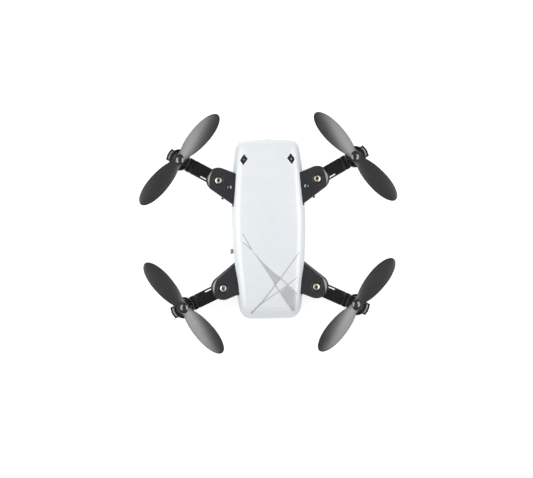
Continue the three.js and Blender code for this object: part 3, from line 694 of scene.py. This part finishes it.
def make_lamp_rim(side, height):
    """The raised rim round a light opening. It follows the canopy's surface."""
    outer, inner = diamond(side, 0.62, 0.5), diamond(side, 0.0, 0.3)
    section = ((0, -0.6), (0, 0.02), (0.22, 0.22), (0.45, 0.28), (0.75, 0.26), (0.95, 0.12),
               (1, -0.1), (1, -1.4))
    verts = []
    for share, lift in section:
        for a, b in zip(outer, inner):
            x, y = a[0] + (b[0] - a[0]) * share, a[1] + (b[1] - a[1]) * share
            verts.append((x, y, height(*a) * (1 - share) + height(*b) * share + lift))
    faces = ring_faces(len(section), len(outer), closed=True)
    # The rim's whiter colour is a painted highlight.
    return mesh_object(f"lamp_rim_{side}", verts, faces, "rim")


def build_canopy():
    """Places the canopy, and gives the height of its surface above a point in plan."""
    canopy = make_canopy()
    height = surface_finder(canopy)
    rims = [make_lamp_rim(side, height) for side in (-1, 1)]
    slider_low, slider_high = box("switch_slider")
    travel = JOINTS["power_slide"]["range_m"][1] / MM
    socket_low, socket_high = box("charge_socket")
    openings = [slab("tool", diamond(side, 0.3, 0.35), 12, 22, "white", 0, 0, 1)
                for side in (-1, 1)]
    cut(canopy, *openings,
        block("tool", (-20, slider_low.y + 0.25, 12.35),
              (-12, slider_high.y + travel - 0.2, 14.05), "white", 0.25),
        block("tool", (12, socket_low.y - 0.3, socket_low.z - 0.3),
              (20, socket_high.y + 0.3, socket_high.z + 0.3), "white", 0.3),
        lathe("tool", [(0, 37), (2.85, 37), (2.85, 44), (0, 44)], "white",
              matrix=CAMERA_MATRIX))
    soften(canopy, 0.14)
    place(join("canopy", canopy, *rims), "white_shell", "top_shell")
    return height


# --- print on the canopy

PRINT_SPACING = 0.6
PRINT_ABOVE = 0.035
PRINT_BELOW = 0.06


def conform(outline, height):
    """A printed patch: a very thin skin that follows the canopy."""
    bm = bmesh.new()
    bm.faces.new([bm.verts.new((x, y, 0)) for x, y in outline])
    for axis in (0, 1):
        normal = Vector((1 - axis, axis, 0))
        across = [point[axis] for point in outline]
        position = min(across) + PRINT_SPACING
        while position < max(across) - 0.05:
            bmesh.ops.bisect_plane(bm, geom=bm.verts[:] + bm.edges[:] + bm.faces[:],
                                   plane_co=normal * position, plane_no=normal)
            position += PRINT_SPACING
    bmesh.ops.triangulate(bm, faces=bm.faces)
    bm.verts.index_update()
    places = [(v.co.x, v.co.y) for v in bm.verts]
    verts = [(x, y, height(x, y) + PRINT_ABOVE) for x, y in places]
    verts += [(x, y, height(x, y) - PRINT_BELOW) for x, y in places]
    faces = [tuple(v.index for v in face.verts) for face in bm.faces]
    bm.free()
    return mesh_object("patch", verts, thickened(faces, len(places)), "print")


def stripe(points, widths, height):
    """A fine line through points in plan. Its width is given at each of them."""
    points = [Vector(p) for p in points]
    left, right = [], []
    for i, point in enumerate(points):
        along = points[min(len(points) - 1, i + 1)] - points[max(0, i - 1)]
        across = Vector((-along.y, along.x)).normalized() * widths[i] / 2
        left.append(tuple(point + across))
        right.append(tuple(point - across))
    return conform(left + right[::-1], height)


def build_print(height):
    """Plain crossing pinstripes with two wedges, in pale grey."""
    wedges = [
        [(-7.8, -7.6), (-3.3, -12.9), (1.2, -17.3), (5.4, -20.6), (2.5, -23.5), (1.8, -22.5),
         (-3.4, -14.1)],
        [(7.8, -24.0), (12.0, -27.5), (11.4, -32.4), (10.9, -35.4), (9.8, -35.3), (4.4, -26.8)],
    ]
    lines = [
        ([(-11.6, -0.5), (-7.6, -7.9)], (0.35, 0.55)),
        ([(1.8, -22.5), (4.4, -26.7), (10.0, -35.5)], (0.55, 0.5, 0.4)),
        ([(-11.6, -4.2), (-7.6, -7.8)], (0.35, 0.55)),
        ([(5.2, -20.7), (7.8, -23.5), (12.2, -27.4)], (0.55, 0.5, 0.4)),
        ([(13.4, -9.2), (5.2, -20.1), (2.5, -23.5), (-3.4, -30.9), (-8.6, -36.2)],
         (0.4, 0.5, 0.6, 0.6, 0.9)),
        ([(12.6, -20.1), (7.8, -23.7), (3.9, -26.5), (-3.4, -31.4), (-8.4, -35.7)],
         (0.35, 0.45, 0.45, 0.5, 0.6)),
    ]
    pieces = [conform(outline, height) for outline in wedges]
    pieces += [stripe(points, widths, height) for points, widths in lines]
    place(join("pinstripes", *pieces), "white_shell")


# --- lamps

def bulge(radius, height, z, degrees, inside=0.0):
    """Profile points up a rounded end, from z upwards."""
    return [(inside + radius * math.cos(math.radians(a)), z + height * math.sin(math.radians(a)))
            for a in degrees]


def build_lamps(height):
    for name, side in (("left", -1), ("right", 1)):
        x = side * LAMP_X
        low = box("led_holder_" + name)[0].z
        top = height(side * (LAMP_X - 2.6), LAMP_Y) - 1.0
        holder = slab("lamp_holder_" + name, diamond(side, -0.24, 0.25), low, top, "dark",
                      0.12, 0.05, 3)
        cut(holder, drill(x, LAMP_Y, top - 2.4, top + 1, 0.98))
        place(holder, "black_frame", "led_holder_" + name)
        bulb_low, bulb_high = heights("led_lamp_" + name)
        profile = [(0, bulb_low), (0.8, bulb_low),
                   *bulge(0.8, 0.75, bulb_high - 0.75, range(0, 90, 9)), (0, bulb_high)]
        bulb = lathe("lamp_bulb_" + name, profile, "lamp", (x, LAMP_Y, 0), 40)
        place(bulb, "lamp_plastic", "led_lamp_" + name)


# --- frame with the upper ears

RAIL_IN = 11.6
RAIL_OUT = 12.8
RAIL_LOW = 9.3

# Pairs of (inset, drop) from the ear's side inwards.
EAR_SHOULDER = [(0.0, 1.1), (0.07, 0.93), (0.25, 0.72), (0.45, 0.52), (0.64, 0.35),
                (0.8, 0.23), (0.95, 0.14), (1.1, 0.075), (1.27, 0.03), (1.5, 0.0)]
EYELET = [(2.05, -0.55), (2.05, -0.12), (2.12, -0.03), (2.22, 0.0), (2.42, 0.0),
          (2.5, -0.03), (2.5, -0.55)]
PIP = [(0, -0.3), (1.35, -0.3), (1.35, 0.33), (1.32, 0.36), (1.06, 0.36), (0.94, 0.32),
       (0.76, 0.24), (0.5, 0.13), (0.3, 0.06), (0.12, 0.03), (0, 0.02)]


def build_upper_frame():
    front, rear = FRONT_ARM.upper_ear, REAR_ARM.upper_ear
    port_y = middle_of("charge_socket").y
    pieces = []
    for side in (-1, 1):
        for y0, y1, top in ((-27.5, port_y - 4.4, rear + 0.4), (port_y + 4.4, 27.5, rear + 0.4),
                            (port_y - 4.5, port_y + 4.5, 11.3), (13, 27, front + 0.4)):
            pieces.append(block("rail", (side * RAIL_IN, y0, RAIL_LOW),
                                (side * RAIL_OUT, y1, top), "dark"))
    for y0, y1, deck in ((13.2, 26.6, front), (-27.6, -15, rear)):
        pieces.append(block("deck", (-RAIL_OUT, y0, deck), (RAIL_OUT, y1, deck + EAR_THICK),
                            "dark"))
    for arm in ARMS:
        pieces += make_upper_ear(arm)
    place(join("frame_and_ears", *pieces), "black_frame", "upper_frame")


def make_upper_ear(arm):
    """One upper ear with its shouldered edge, its screw well and the web that holds it."""
    top = arm.upper_ear_top
    x, y = arm.pivot
    ear = slab("ear", arm.ear_outline(EAR_RADIUS, EAR_INNER_X), arm.upper_ear, top, "black",
               bottom=0.15, shoulder=EAR_SHOULDER, spread=arm.shoulder_spread())
    cut(ear, drill(x, y, top - 0.6, top + 2, 2.45), drill(x, y, top - 5, top + 2, 1.1))
    low, high = arm.root_span()
    web_low, web_out = (arm.lower_ear_top + TOUCH_GAP, 15) if arm.front else (PARTING_Z, 14)
    pieces = [ear, lathe("eyelet", EYELET, "black", (x, y, top)),
              block("web", (arm.side * 12.6, low + 0.3, web_low),
                    (arm.side * web_out, high - 0.3, arm.upper_ear + 0.4), "black", 0.3)]
    if arm.front:
        pieces.append(lathe("pip", PIP, "hub", (arm.side * 17.2, 20.4, top), 40))
    return pieces


# --- bottom shell

TRAY_FOOT = 0.4


def tray_levels(_, __):
    """Heights up the tray's side, measured downwards."""
    foot = TRAY_FOOT + TOUCH_GAP - PARTING_Z
    base = BOTTOM_Z + BOTTOM_ROUND
    return ([("z", foot - TRAY_FOOT), ("z", foot)]
            + [("z", foot - (foot + base) * k / 3) for k in (1, 2)] + [("angle", 0.0)])


def build_bottom_shell():
    tray = hollow_shell("tray", outline_stations([]), tray_levels, BOTTOM_ROUND,
                        lambda y: -BOTTOM_Z, 0, (8, 2), lambda i, k, columns: True, "black", -1)
    soften(tray, 0.18)
    well = [(1.0, 1.6), (1.9, 1.6), (1.9, 0.12), (1.98, 0.03), (2.1, 0.0), (2.45, 0.0),
            (2.45, 2.6), (1.0, 2.6)]
    pieces = [tray]
    for x, y in SCREW_PLACES:
        cut(tray, drill(x, y, BOTTOM_Z - 2, BOTTOM_Z + 3, 2.3))
        pieces.append(lathe("well", well, "black", (x, y, BOTTOM_Z)))
    for arm in ARMS:
        pieces += make_lower_ear(arm)
    place(join("bottom_tray", *pieces), "black_frame", "bottom_shell")


def make_lower_ear(arm):
    """One lower ear with its root, its hinge post and, in front, the arm's stop peg."""
    bottom, top = arm.lower_ear, arm.lower_ear_top
    ear = slab("ear", arm.ear_outline(LOWER_EAR_RADIUS, 12.0), bottom, top, "black",
               top=0.2, bottom=0.6, steps=5)
    low, high = arm.root_span()
    root = block("root", (arm.side * 13.2, low, 5.6), (arm.side * 14.9, high, top), "black", 0.3)
    post = rounded([(1.1, top - 0.8), (2.0, top - 0.8), (2.0, arm.high), (1.1, arm.high)], 0.12)
    pieces = [ear, root, lathe("post", post, "black", (*arm.pivot, 0), 48)]
    if arm.front:
        peg = rounded([(0, bottom), (0.6, bottom), (0.6, top), (0, top)], 0.15)
        pieces.append(lathe("stop", peg, "black", (arm.side * 20.4, 15.6, 0), 32))
    return pieces


# --- screws

HINGE_HEAD = (1.5, 0.9)  # radius and height
BASE_HEAD = (1.6, 1.1)
SHANK = 5
RECESS_TURN = 20  # degrees


def screw_head(name, radius, height, matrix):
    """A domed cross-recess screw. Its seat is at z = 0 before matrix moves it."""
    profile = [(0, -SHANK), (radius * 0.3, -SHANK), (radius * 0.53, 0.4 - SHANK),
               (radius * 0.53, 0), (radius * 0.96, 0), (radius, 0.05), (radius, height * 0.35)]
    profile += bulge(radius * 0.38, height * 0.5, height * 0.35, range(12, 91, 13),
                     radius * 0.62)
    profile += [(radius * 0.6, height * 0.86), (radius * 0.3, height), (0, height)]
    head = lathe(name, profile, "nickel", segments=56)
    head.data.materials.append(MATERIALS["recess"])
    reach, half = radius * 0.66, radius * 0.17
    tools = [lathe("tool", [(0, height * 0.3), (radius * 0.25, height * 0.3),
                            (radius * 0.52, height + 0.05), (0, height + 0.05)], "recess")]
    for turn in (RECESS_TURN, RECESS_TURN + 90):
        tools.append(slab("tool", rounded_rectangle(-reach, reach, -half, half, half * 0.6),
                          height * 0.25, height + 1, "recess", 0, 0, 1,
                          Matrix.Rotation(math.radians(turn), 4, "Z")))
    # The faces these cutters leave in the head take the recess's painted shade.
    for tool in tools:
        tool.data.materials.append(MATERIALS["recess"])
        for polygon in tool.data.polygons:
            polygon.material_index = 1
    cut(head, *tools)
    head.data.transform(matrix)
    return head


def build_screws():
    for arm in ARMS:
        head = screw_head("hinge_screw_" + arm.name, *HINGE_HEAD,
                          shift(*arm.pivot, arm.upper_ear_top - 0.45))
        place(head, "plated_steel", "pivot_screw_" + arm.name)
    for i, (x, y) in enumerate(SCREW_PLACES, 1):
        head = screw_head(f"base_screw_{i}", *BASE_HEAD,
                          shift(x, y, BOTTOM_Z + 1.5) @ Matrix.Rotation(math.pi, 4, "X"))
        place(head, "plated_steel", f"shell_screw_{i}")


# --- small parts of the body

def build_camera():
    back, front = (corner.y for corner in box("camera_barrel"))
    tube = rounded([(0, back - front), (2.6, back - front), (2.6, 0), (2.1, 0), (1.95, -0.5),
                    (1.9, -1.2), (0, -1.2)], 0.12)
    glass = [(0, -1.1), (1.8, -1.1), (1.8, -0.7), *bulge(1.8, 0.5, -0.7, range(10, 90, 10)),
             (0, -0.2)]
    barrel = lathe("camera_tube", tube, "dark", (0, 0, front), matrix=CAMERA_MATRIX)
    place(barrel, "black_frame", "camera_barrel")
    lens = lathe("camera_glass", glass, "lens", (0, 0, front), matrix=CAMERA_MATRIX)
    place(lens, "lens_glass", "camera_lens")


def build_switch_and_socket():
    low, high = box("switch_slider")
    knob = block("knob", low, (low.x + 1.1, high.y, high.z), "knob", 0.12)
    ribs = [block("rib", (low.x, low.y + 0.45 + 0.5 * k, low.z + 0.2),
                  (low.x + 0.3, low.y + 0.7 + 0.5 * k, high.z - 0.2), "knob", 0.06)
            for k in range(3)]
    stem = block("stem", (low.x + 0.5, low.y + 0.36, low.z + 0.3),
                 (high.x, high.y - 0.36, high.z - 0.3), "knob", 0.08)
    place(join("switch_knob", knob, stem, *ribs), "switch_knob", "switch_slider",
          body="power_switch")
    low, high = box("charge_socket")
    shell = block("socket", low, high, "nickel", 0.5)
    cut(shell, block("tool", (low.x + 1.2, low.y + 0.4, low.z + 0.35),
                     (high.x + 2, high.y - 0.4, high.z - 0.35), "nickel", 0.3))
    tongue = block("tongue", (low.x + 1, low.y + 1.4, low.z + 1.0),
                   (high.x - 0.5, high.y - 1.4, low.z + 1.5), "dark", 0.08)
    place(join("socket", shell, tongue), "plated_steel", "charge_socket")


# --- arms

KNUCKLE = 3.6
ARM_EDGE = 0.35


def arm_plate(arm, outer, holes):
    """The arm's plate. Its upper and lower edges, also the holes', are rounded all round."""
    name = "arm_beam_" + arm.name
    curve = bpy.data.curves.new(name, "CURVE")
    curve.dimensions = "2D"
    curve.fill_mode = "BOTH"
    for points in (outer, *holes):
        spline = curve.splines.new("POLY")
        spline.points.add(len(points) - 1)
        for point, (x, y) in zip(spline.points, points):
            point.co = (x, y, 0, 1)
        spline.use_cyclic_u = True
    curve.offset = -ARM_EDGE
    curve.bevel_depth = ARM_EDGE
    curve.bevel_resolution = 2
    curve.extrude = (arm.high - arm.low) / 2 - ARM_EDGE
    holder = add_object(name, curve)
    evaluated = holder.evaluated_get(bpy.context.evaluated_depsgraph_get())
    mesh = bpy.data.meshes.new_from_object(evaluated)
    bpy.data.objects.remove(holder, do_unlink=True)
    mesh.transform(arm.matrix @ shift(0, 0, (arm.low + arm.high) / 2) @ Matrix.Scale(MM, 4))
    mesh.materials.clear()
    mesh.materials.append(MATERIALS["arm"])
    obj = add_object(name, mesh)
    clean(obj)
    return obj


def build_arm(arm):
    half = ARM_HALF_WIDTH
    meet = math.degrees(math.asin(half / KNUCKLE))
    outer = arc(KNUCKLE, meet, 360 - meet, 40) + [(BEAM_END, -half), (BEAM_END, half)]
    slot = [(u, arm.fold_side * v) for u, v in rounded_rectangle(4.6, 8.0, 1.95, 2.42, 0.2)]
    beam = arm_plate(arm, outer, [circle(0, 0, 2.1), slot])
    tongue = arm.block("tongue", (BEAM_END - 1, -2.95, arm.low + 0.4),
                       (14.3, 2.95, arm.high - 0.4), 0.2)
    cut(beam, arm.channel(4.2, 17, arm.low - 2))
    arm.place(join("arm_beam_" + arm.name, beam, tongue), "black_frame", "arm")
    cover = arm.block("arm_cover_strip_" + arm.name, (4.5, -1.05, arm.low),
                      (BEAM_END, 1.05, arm.low + 0.8), 0.15)
    arm.place(cover, "black_frame", "arm_cover")


# --- motors

SLEEVE_RADIUS = 4.75
SLEEVE_BORE = 3.75
LEG_OUTER = 5.95
LEG_INNER = 5.25
LEG_HALF_WIDTH = 2.85
CAN_RADIUS = 3.5
WIRE_RADIUS = 0.39
WIRE_OFFSET = 0.42
WIRE_STEPS = 14


def build_motor_mount(arm):
    low, high = arm.can_low + 0.9, arm.can_high - 0.7
    radius, bore = SLEEVE_RADIUS, SLEEVE_BORE
    profile = [(bore, low), (radius, low), (radius, high - 0.35), (radius - 0.3, high),
               (bore + 0.25, high), (bore, high - 0.2), (bore, low)]
    sleeve = lathe("sleeve", rounded(profile, 0.2)[:-1], "arm", (arm.length, 0, 0),
                   MOTOR_STEPS, arm.matrix)
    collar = arm.block("collar", (13.3, -ARM_HALF_WIDTH, arm.low),
                       (arm.length - 4.0, ARM_HALF_WIDTH, arm.high), 0.3)
    leg_low, leg_high = box("motor_mount_" + arm.name)[0].z, high - 2.5
    spread = math.degrees(math.asin(LEG_HALF_WIDTH / LEG_OUTER))
    corner = [(LEG_OUTER - 0.28, spread - 0.4), (LEG_OUTER - 0.08, spread - 1.7)]
    plan = [polar(radius, -angle, arm.length) for radius, angle in corner]
    plan += arc(LEG_OUTER, 3.6 - spread, spread - 3.6, 12, arm.length)
    plan += [polar(radius, angle, arm.length) for radius, angle in corner[::-1]]
    plan += arc(LEG_INNER, spread, -spread, 12, arm.length)
    leg = slab("leg", plan, leg_low, leg_high, "arm", 0.22, 0.2, 3, arm.matrix)
    ribs = [arm.block("rib", (arm.length + 3.95, v, low + 1),
                      (arm.length + 5.6, v + 0.75, leg_high), 0.12) for v in (-2.7, 1.95)]
    cut(sleeve, arm.channel(14.2, arm.length - 3.2, low - 2))
    arm.place(join("motor_holder_" + arm.name, sleeve, collar, leg, *ribs), "black_frame",
              "motor_mount")


def build_motor(arm):
    low, radius = arm.can_low - arm.can_high, CAN_RADIUS
    profile = [(3.05, low), (radius, low), (radius, low + 0.9), (radius - 0.08, low + 1.0),
               (radius - 0.08, low + 1.15), (radius, low + 1.25), (radius, -0.32),
               (radius - 0.3, 0), (2.3, 0), (2.2, -0.12), (1.7, -0.12), (1.5, 0), (1.45, 0.28),
               (0.85, 0.28), (0.85, -0.9), (3.05, -0.9)]
    can = lathe("motor_case_" + arm.name, rounded(profile, 0.08), "can",
                (arm.length, 0, arm.can_high), MOTOR_STEPS, arm.matrix)
    arm.place(can, "motor_case", "motor_can")
    cap = [(0, 0.25), (0.7, 0.25), (0.8, 0), (2.6, 0), (2.75, 0.15), (2.75, 1.0), (0, 1.0)]
    end = lathe("motor_end_" + arm.name, rounded(cap, 0.06), "dark",
                (arm.length, 0, box("motor_cap_" + arm.name)[0].z), 48, arm.matrix)
    arm.place(end, "black_component", "motor_cap")


def build_lead(arm):
    """The motor's twin lead, out of the end cap and up into the arm."""
    start_z, run_z = arm.can_low - 0.7, arm.low + 1.6
    up, bend = arm.length - 4.25, 0.7
    path = [(arm.length - 1.2, start_z), (up + bend, start_z),
            *arc(bend, 255, 180, 5, up + bend, start_z + bend), (up, run_z - bend),
            *arc(bend, 15, 90, 5, up - bend, run_z - bend), (5.0, run_z)]
    path = [Vector(point) for point in path]
    pieces = []
    for side, look in ((-1, "dark"), (1, "wire")):
        verts = []
        for i, (u, z) in enumerate(path):
            along = (path[min(len(path) - 1, i + 1)] - path[max(0, i - 1)]).normalized()
            for out, aside in arc(WIRE_RADIUS, 0, 360, WIRE_STEPS)[:-1]:
                verts.append((u - along.y * out, side * WIRE_OFFSET + aside, z + along.x * out))
        pieces.append(mesh_object("wire", verts, tube_faces(len(path), WIRE_STEPS), look,
                                  arm.matrix))
    arm.place(join("motor_wires_" + arm.name, *pieces), "wire_sleeve", "motor_lead")


# --- propellers

BLADE_ROOT = 1.4
BLADE_TIP = 26.35
BLADE_CHORD = 8.75
BLADE_WIDEST = 15.0
BLADE_REST_FRONT = 48  # degrees
BLADE_REST_REAR = 50
BLADE_STATIONS = 44
CHORD_STEPS = 14
HUB_RADIUS = 2.55

# Pairs of (radius, drop) from the hub's top outwards.
HUB_DOME = ((0, 0), (0.7, 0.03), (1.0, 0.11), (1.25, 0.225), (1.5, 0.375), (1.8, 0.57),
            (2.1, 0.79), (2.33, 0.98), (2.44, 1.12), (2.5, 1.32), (2.53, 2.15))


def blade_chord(radius):
    reach = BLADE_TIP + 0.02 - BLADE_WIDEST if radius > BLADE_WIDEST else 14.0
    return BLADE_CHORD * math.sqrt(max(0.0, 1 - ((radius - BLADE_WIDEST) / reach) ** 2))


def blade_mesh(spin, middle_z, turn):
    """A twisted, arched blade. Its leading edge is on the +Y side when spin is 1."""
    across = [-0.5 * math.cos(math.pi * k / CHORD_STEPS) for k in range(CHORD_STEPS + 1)]
    section = [(a, 0.08 + 0.14 * (1 - 4 * a ** 2)) for a in across]
    section += [(a, -0.08 - 0.54 * (1 - 4 * a ** 2)) for a in across[-2:0:-1]]
    verts = []
    for i in range(BLADE_STATIONS + 1):
        radius = BLADE_ROOT + (BLADE_TIP - BLADE_ROOT) * math.sin(i / BLADE_STATIONS * math.pi / 2)
        chord = max(0.12, blade_chord(max(radius, 3.0)))
        slope = math.tan(math.radians(20 - 10 * radius / BLADE_TIP)) * 0.97
        thick = (0.85 - 0.5 * radius / BLADE_TIP) * min(1.0, 0.25 + chord / 4)
        for a, offset in section:
            arch = 0.027 * chord * (1 - 4 * a ** 2)
            verts.append((radius, spin * chord * a,
                          middle_z + chord * a * slope + arch + thick * offset))
    return mesh_object("blade", verts, tube_faces(BLADE_STATIONS + 1, len(section)), "blade",
                       turn)


def build_propeller(arm):
    """Hub with two blades, and the motor's shaft inside, about the motor's axis."""
    spin = arm.side * arm.end
    rest = -spin * (BLADE_REST_FRONT if arm.front else BLADE_REST_REAR)
    low, high = heights("propeller_" + arm.name)
    at_motor = shift(*arm.motor)
    profile = [(0, low), (HUB_RADIUS - 0.2, low), (HUB_RADIUS, low + 0.2)]
    profile += [(radius, high - drop) for radius, drop in HUB_DOME[::-1]]
    pieces = [lathe("hub", profile, "hub", segments=MOTOR_STEPS, matrix=at_motor)]
    for half_turn in (0, 180):
        turn = at_motor @ Matrix.Rotation(math.radians(rest + half_turn), 4, "Z")
        pieces.append(blade_mesh(spin, low + 2.35, turn))
    body = "rotor_unit_" + arm.name
    place(join("rotor_blades_" + arm.name, *pieces), "propeller_plastic",
          "propeller_" + arm.name, body=body)
    low = box("rotor_" + arm.name)[0].z
    top = high - low - 0.6
    shaft = rounded([(0, 0), (0.5, 0), (0.5, 0.6), (2.5, 0.6), (2.5, 11.6), (0.5, 11.6),
                     (0.5, top - 0.15), (0.35, top), (0, top)], 0.1)
    rod = lathe("motor_shaft_" + arm.name, shaft, "steel", (0, 0, low), 32, at_motor)
    place(rod, "shaft_steel", "rotor_" + arm.name, body=body)


# --- inner nodes that keep the CAD's shape

INNER_LOOKS = {"battery": "foil", "main_board": "board", "processor_chip": "dark",
               "motion_sensor": "dark", "camera_board": "board", "switch_body": "dark",
               "battery_lead": "wire", "antenna_wire": "dark"}


def finish_inner_nodes():
    for node, look in INNER_LOOKS.items():
        materials = frame["nodes"][node].data.materials
        materials.clear()
        materials.append(MATERIALS[look])


# --- stage, light and camera, in metres and watts

FLOOR_HALF = 4.0
FLOOR_GLOW = 0.79
SKY_COLOR = (0.97, 0.985, 1.0, 1)
SKY_STRENGTH = 0.62
OVERHEAD_PLACE = (-0.25, 0.4, 0.9)
OVERHEAD = ((0.6, 0.6), 3.6)  # size and power
STRIP_X = 0.135
STRIP_Z = 0.115
STRIP = ((0.13, 0.22), 1.05)
CAMERA_DISTANCE = 2.0
CAMERA_PLACE = (-0.00108, -0.00297)
CAMERA_TURN = -1.05  # degrees
BODY_PLANE = 0.012
SEEN_WIDTH = 0.2383
SENSOR_WIDTH = 36  # millimetres


def build_floor():
    half = FLOOR_HALF
    mesh = bpy.data.meshes.new("floor")
    mesh.from_pydata([(-half, -half, 0), (half, -half, 0), (half, half, 0), (-half, half, 0)],
                     [], [(0, 1, 2, 3)])
    mat, shader = new_material("floor_white", (0.5, 0.5, 0.5), 0.6)
    shader.inputs["Emission Color"].default_value = (1, 1, 1, 1)
    shader.inputs["Emission Strength"].default_value = FLOOR_GLOW
    mesh.materials.append(mat)
    add_object("floor", mesh)


def add_area(name, location, size, power):
    """A rectangular light that shines straight down and that the camera doesn't see."""
    light = bpy.data.lights.new(name, "AREA")
    light.shape = "RECTANGLE"
    light.size, light.size_y = size
    light.energy = power
    obj = add_object(name, light)
    obj.location = location
    obj.visible_camera = False
    return obj


def build_lights():
    scene = bpy.context.scene
    world = bpy.data.worlds.new("studio")
    scene.world = world
    world.use_nodes = True
    background = world.node_tree.nodes["Background"]
    background.inputs["Color"].default_value = SKY_COLOR
    background.inputs["Strength"].default_value = SKY_STRENGTH
    overhead = add_area("overhead", OVERHEAD_PLACE, *OVERHEAD)
    overhead.rotation_euler = (-Vector(OVERHEAD_PLACE)).to_track_quat("-Z", "Y").to_euler()
    overhead.visible_glossy = False
    for side in (-1, 1):
        strip = add_area(f"strip_{side}", (side * STRIP_X, 0, STRIP_Z), *STRIP)
        strip.visible_diffuse = False
        strip.visible_transmission = False
    scene.view_settings.view_transform = "Standard"
    scene.view_settings.look = "None"


def build_camera_view():
    """Straight down, long lens, turned a little, as the photograph is taken."""
    data = bpy.data.cameras.new("camera")
    data.sensor_width = SENSOR_WIDTH
    data.lens = SENSOR_WIDTH * (CAMERA_DISTANCE - BODY_PLANE) / SEEN_WIDTH
    data.clip_start, data.clip_end = 0.01, 50
    camera = add_object("camera", data)
    camera.location = (*CAMERA_PLACE, CAMERA_DISTANCE)
    camera.rotation_euler = (0, 0, math.radians(CAMERA_TURN))
    bpy.context.scene.camera = camera


# --- everything

build_camera_view()
canopy_height = build_canopy()
build_print(canopy_height)
build_lamps(canopy_height)
build_upper_frame()
build_bottom_shell()
build_screws()
build_camera()
build_switch_and_socket()
for one_arm in ARMS:
    build_arm(one_arm)
    build_motor_mount(one_arm)
    build_motor(one_arm)
    build_lead(one_arm)
    build_propeller(one_arm)
finish_inner_nodes()
build_floor()
build_lights()
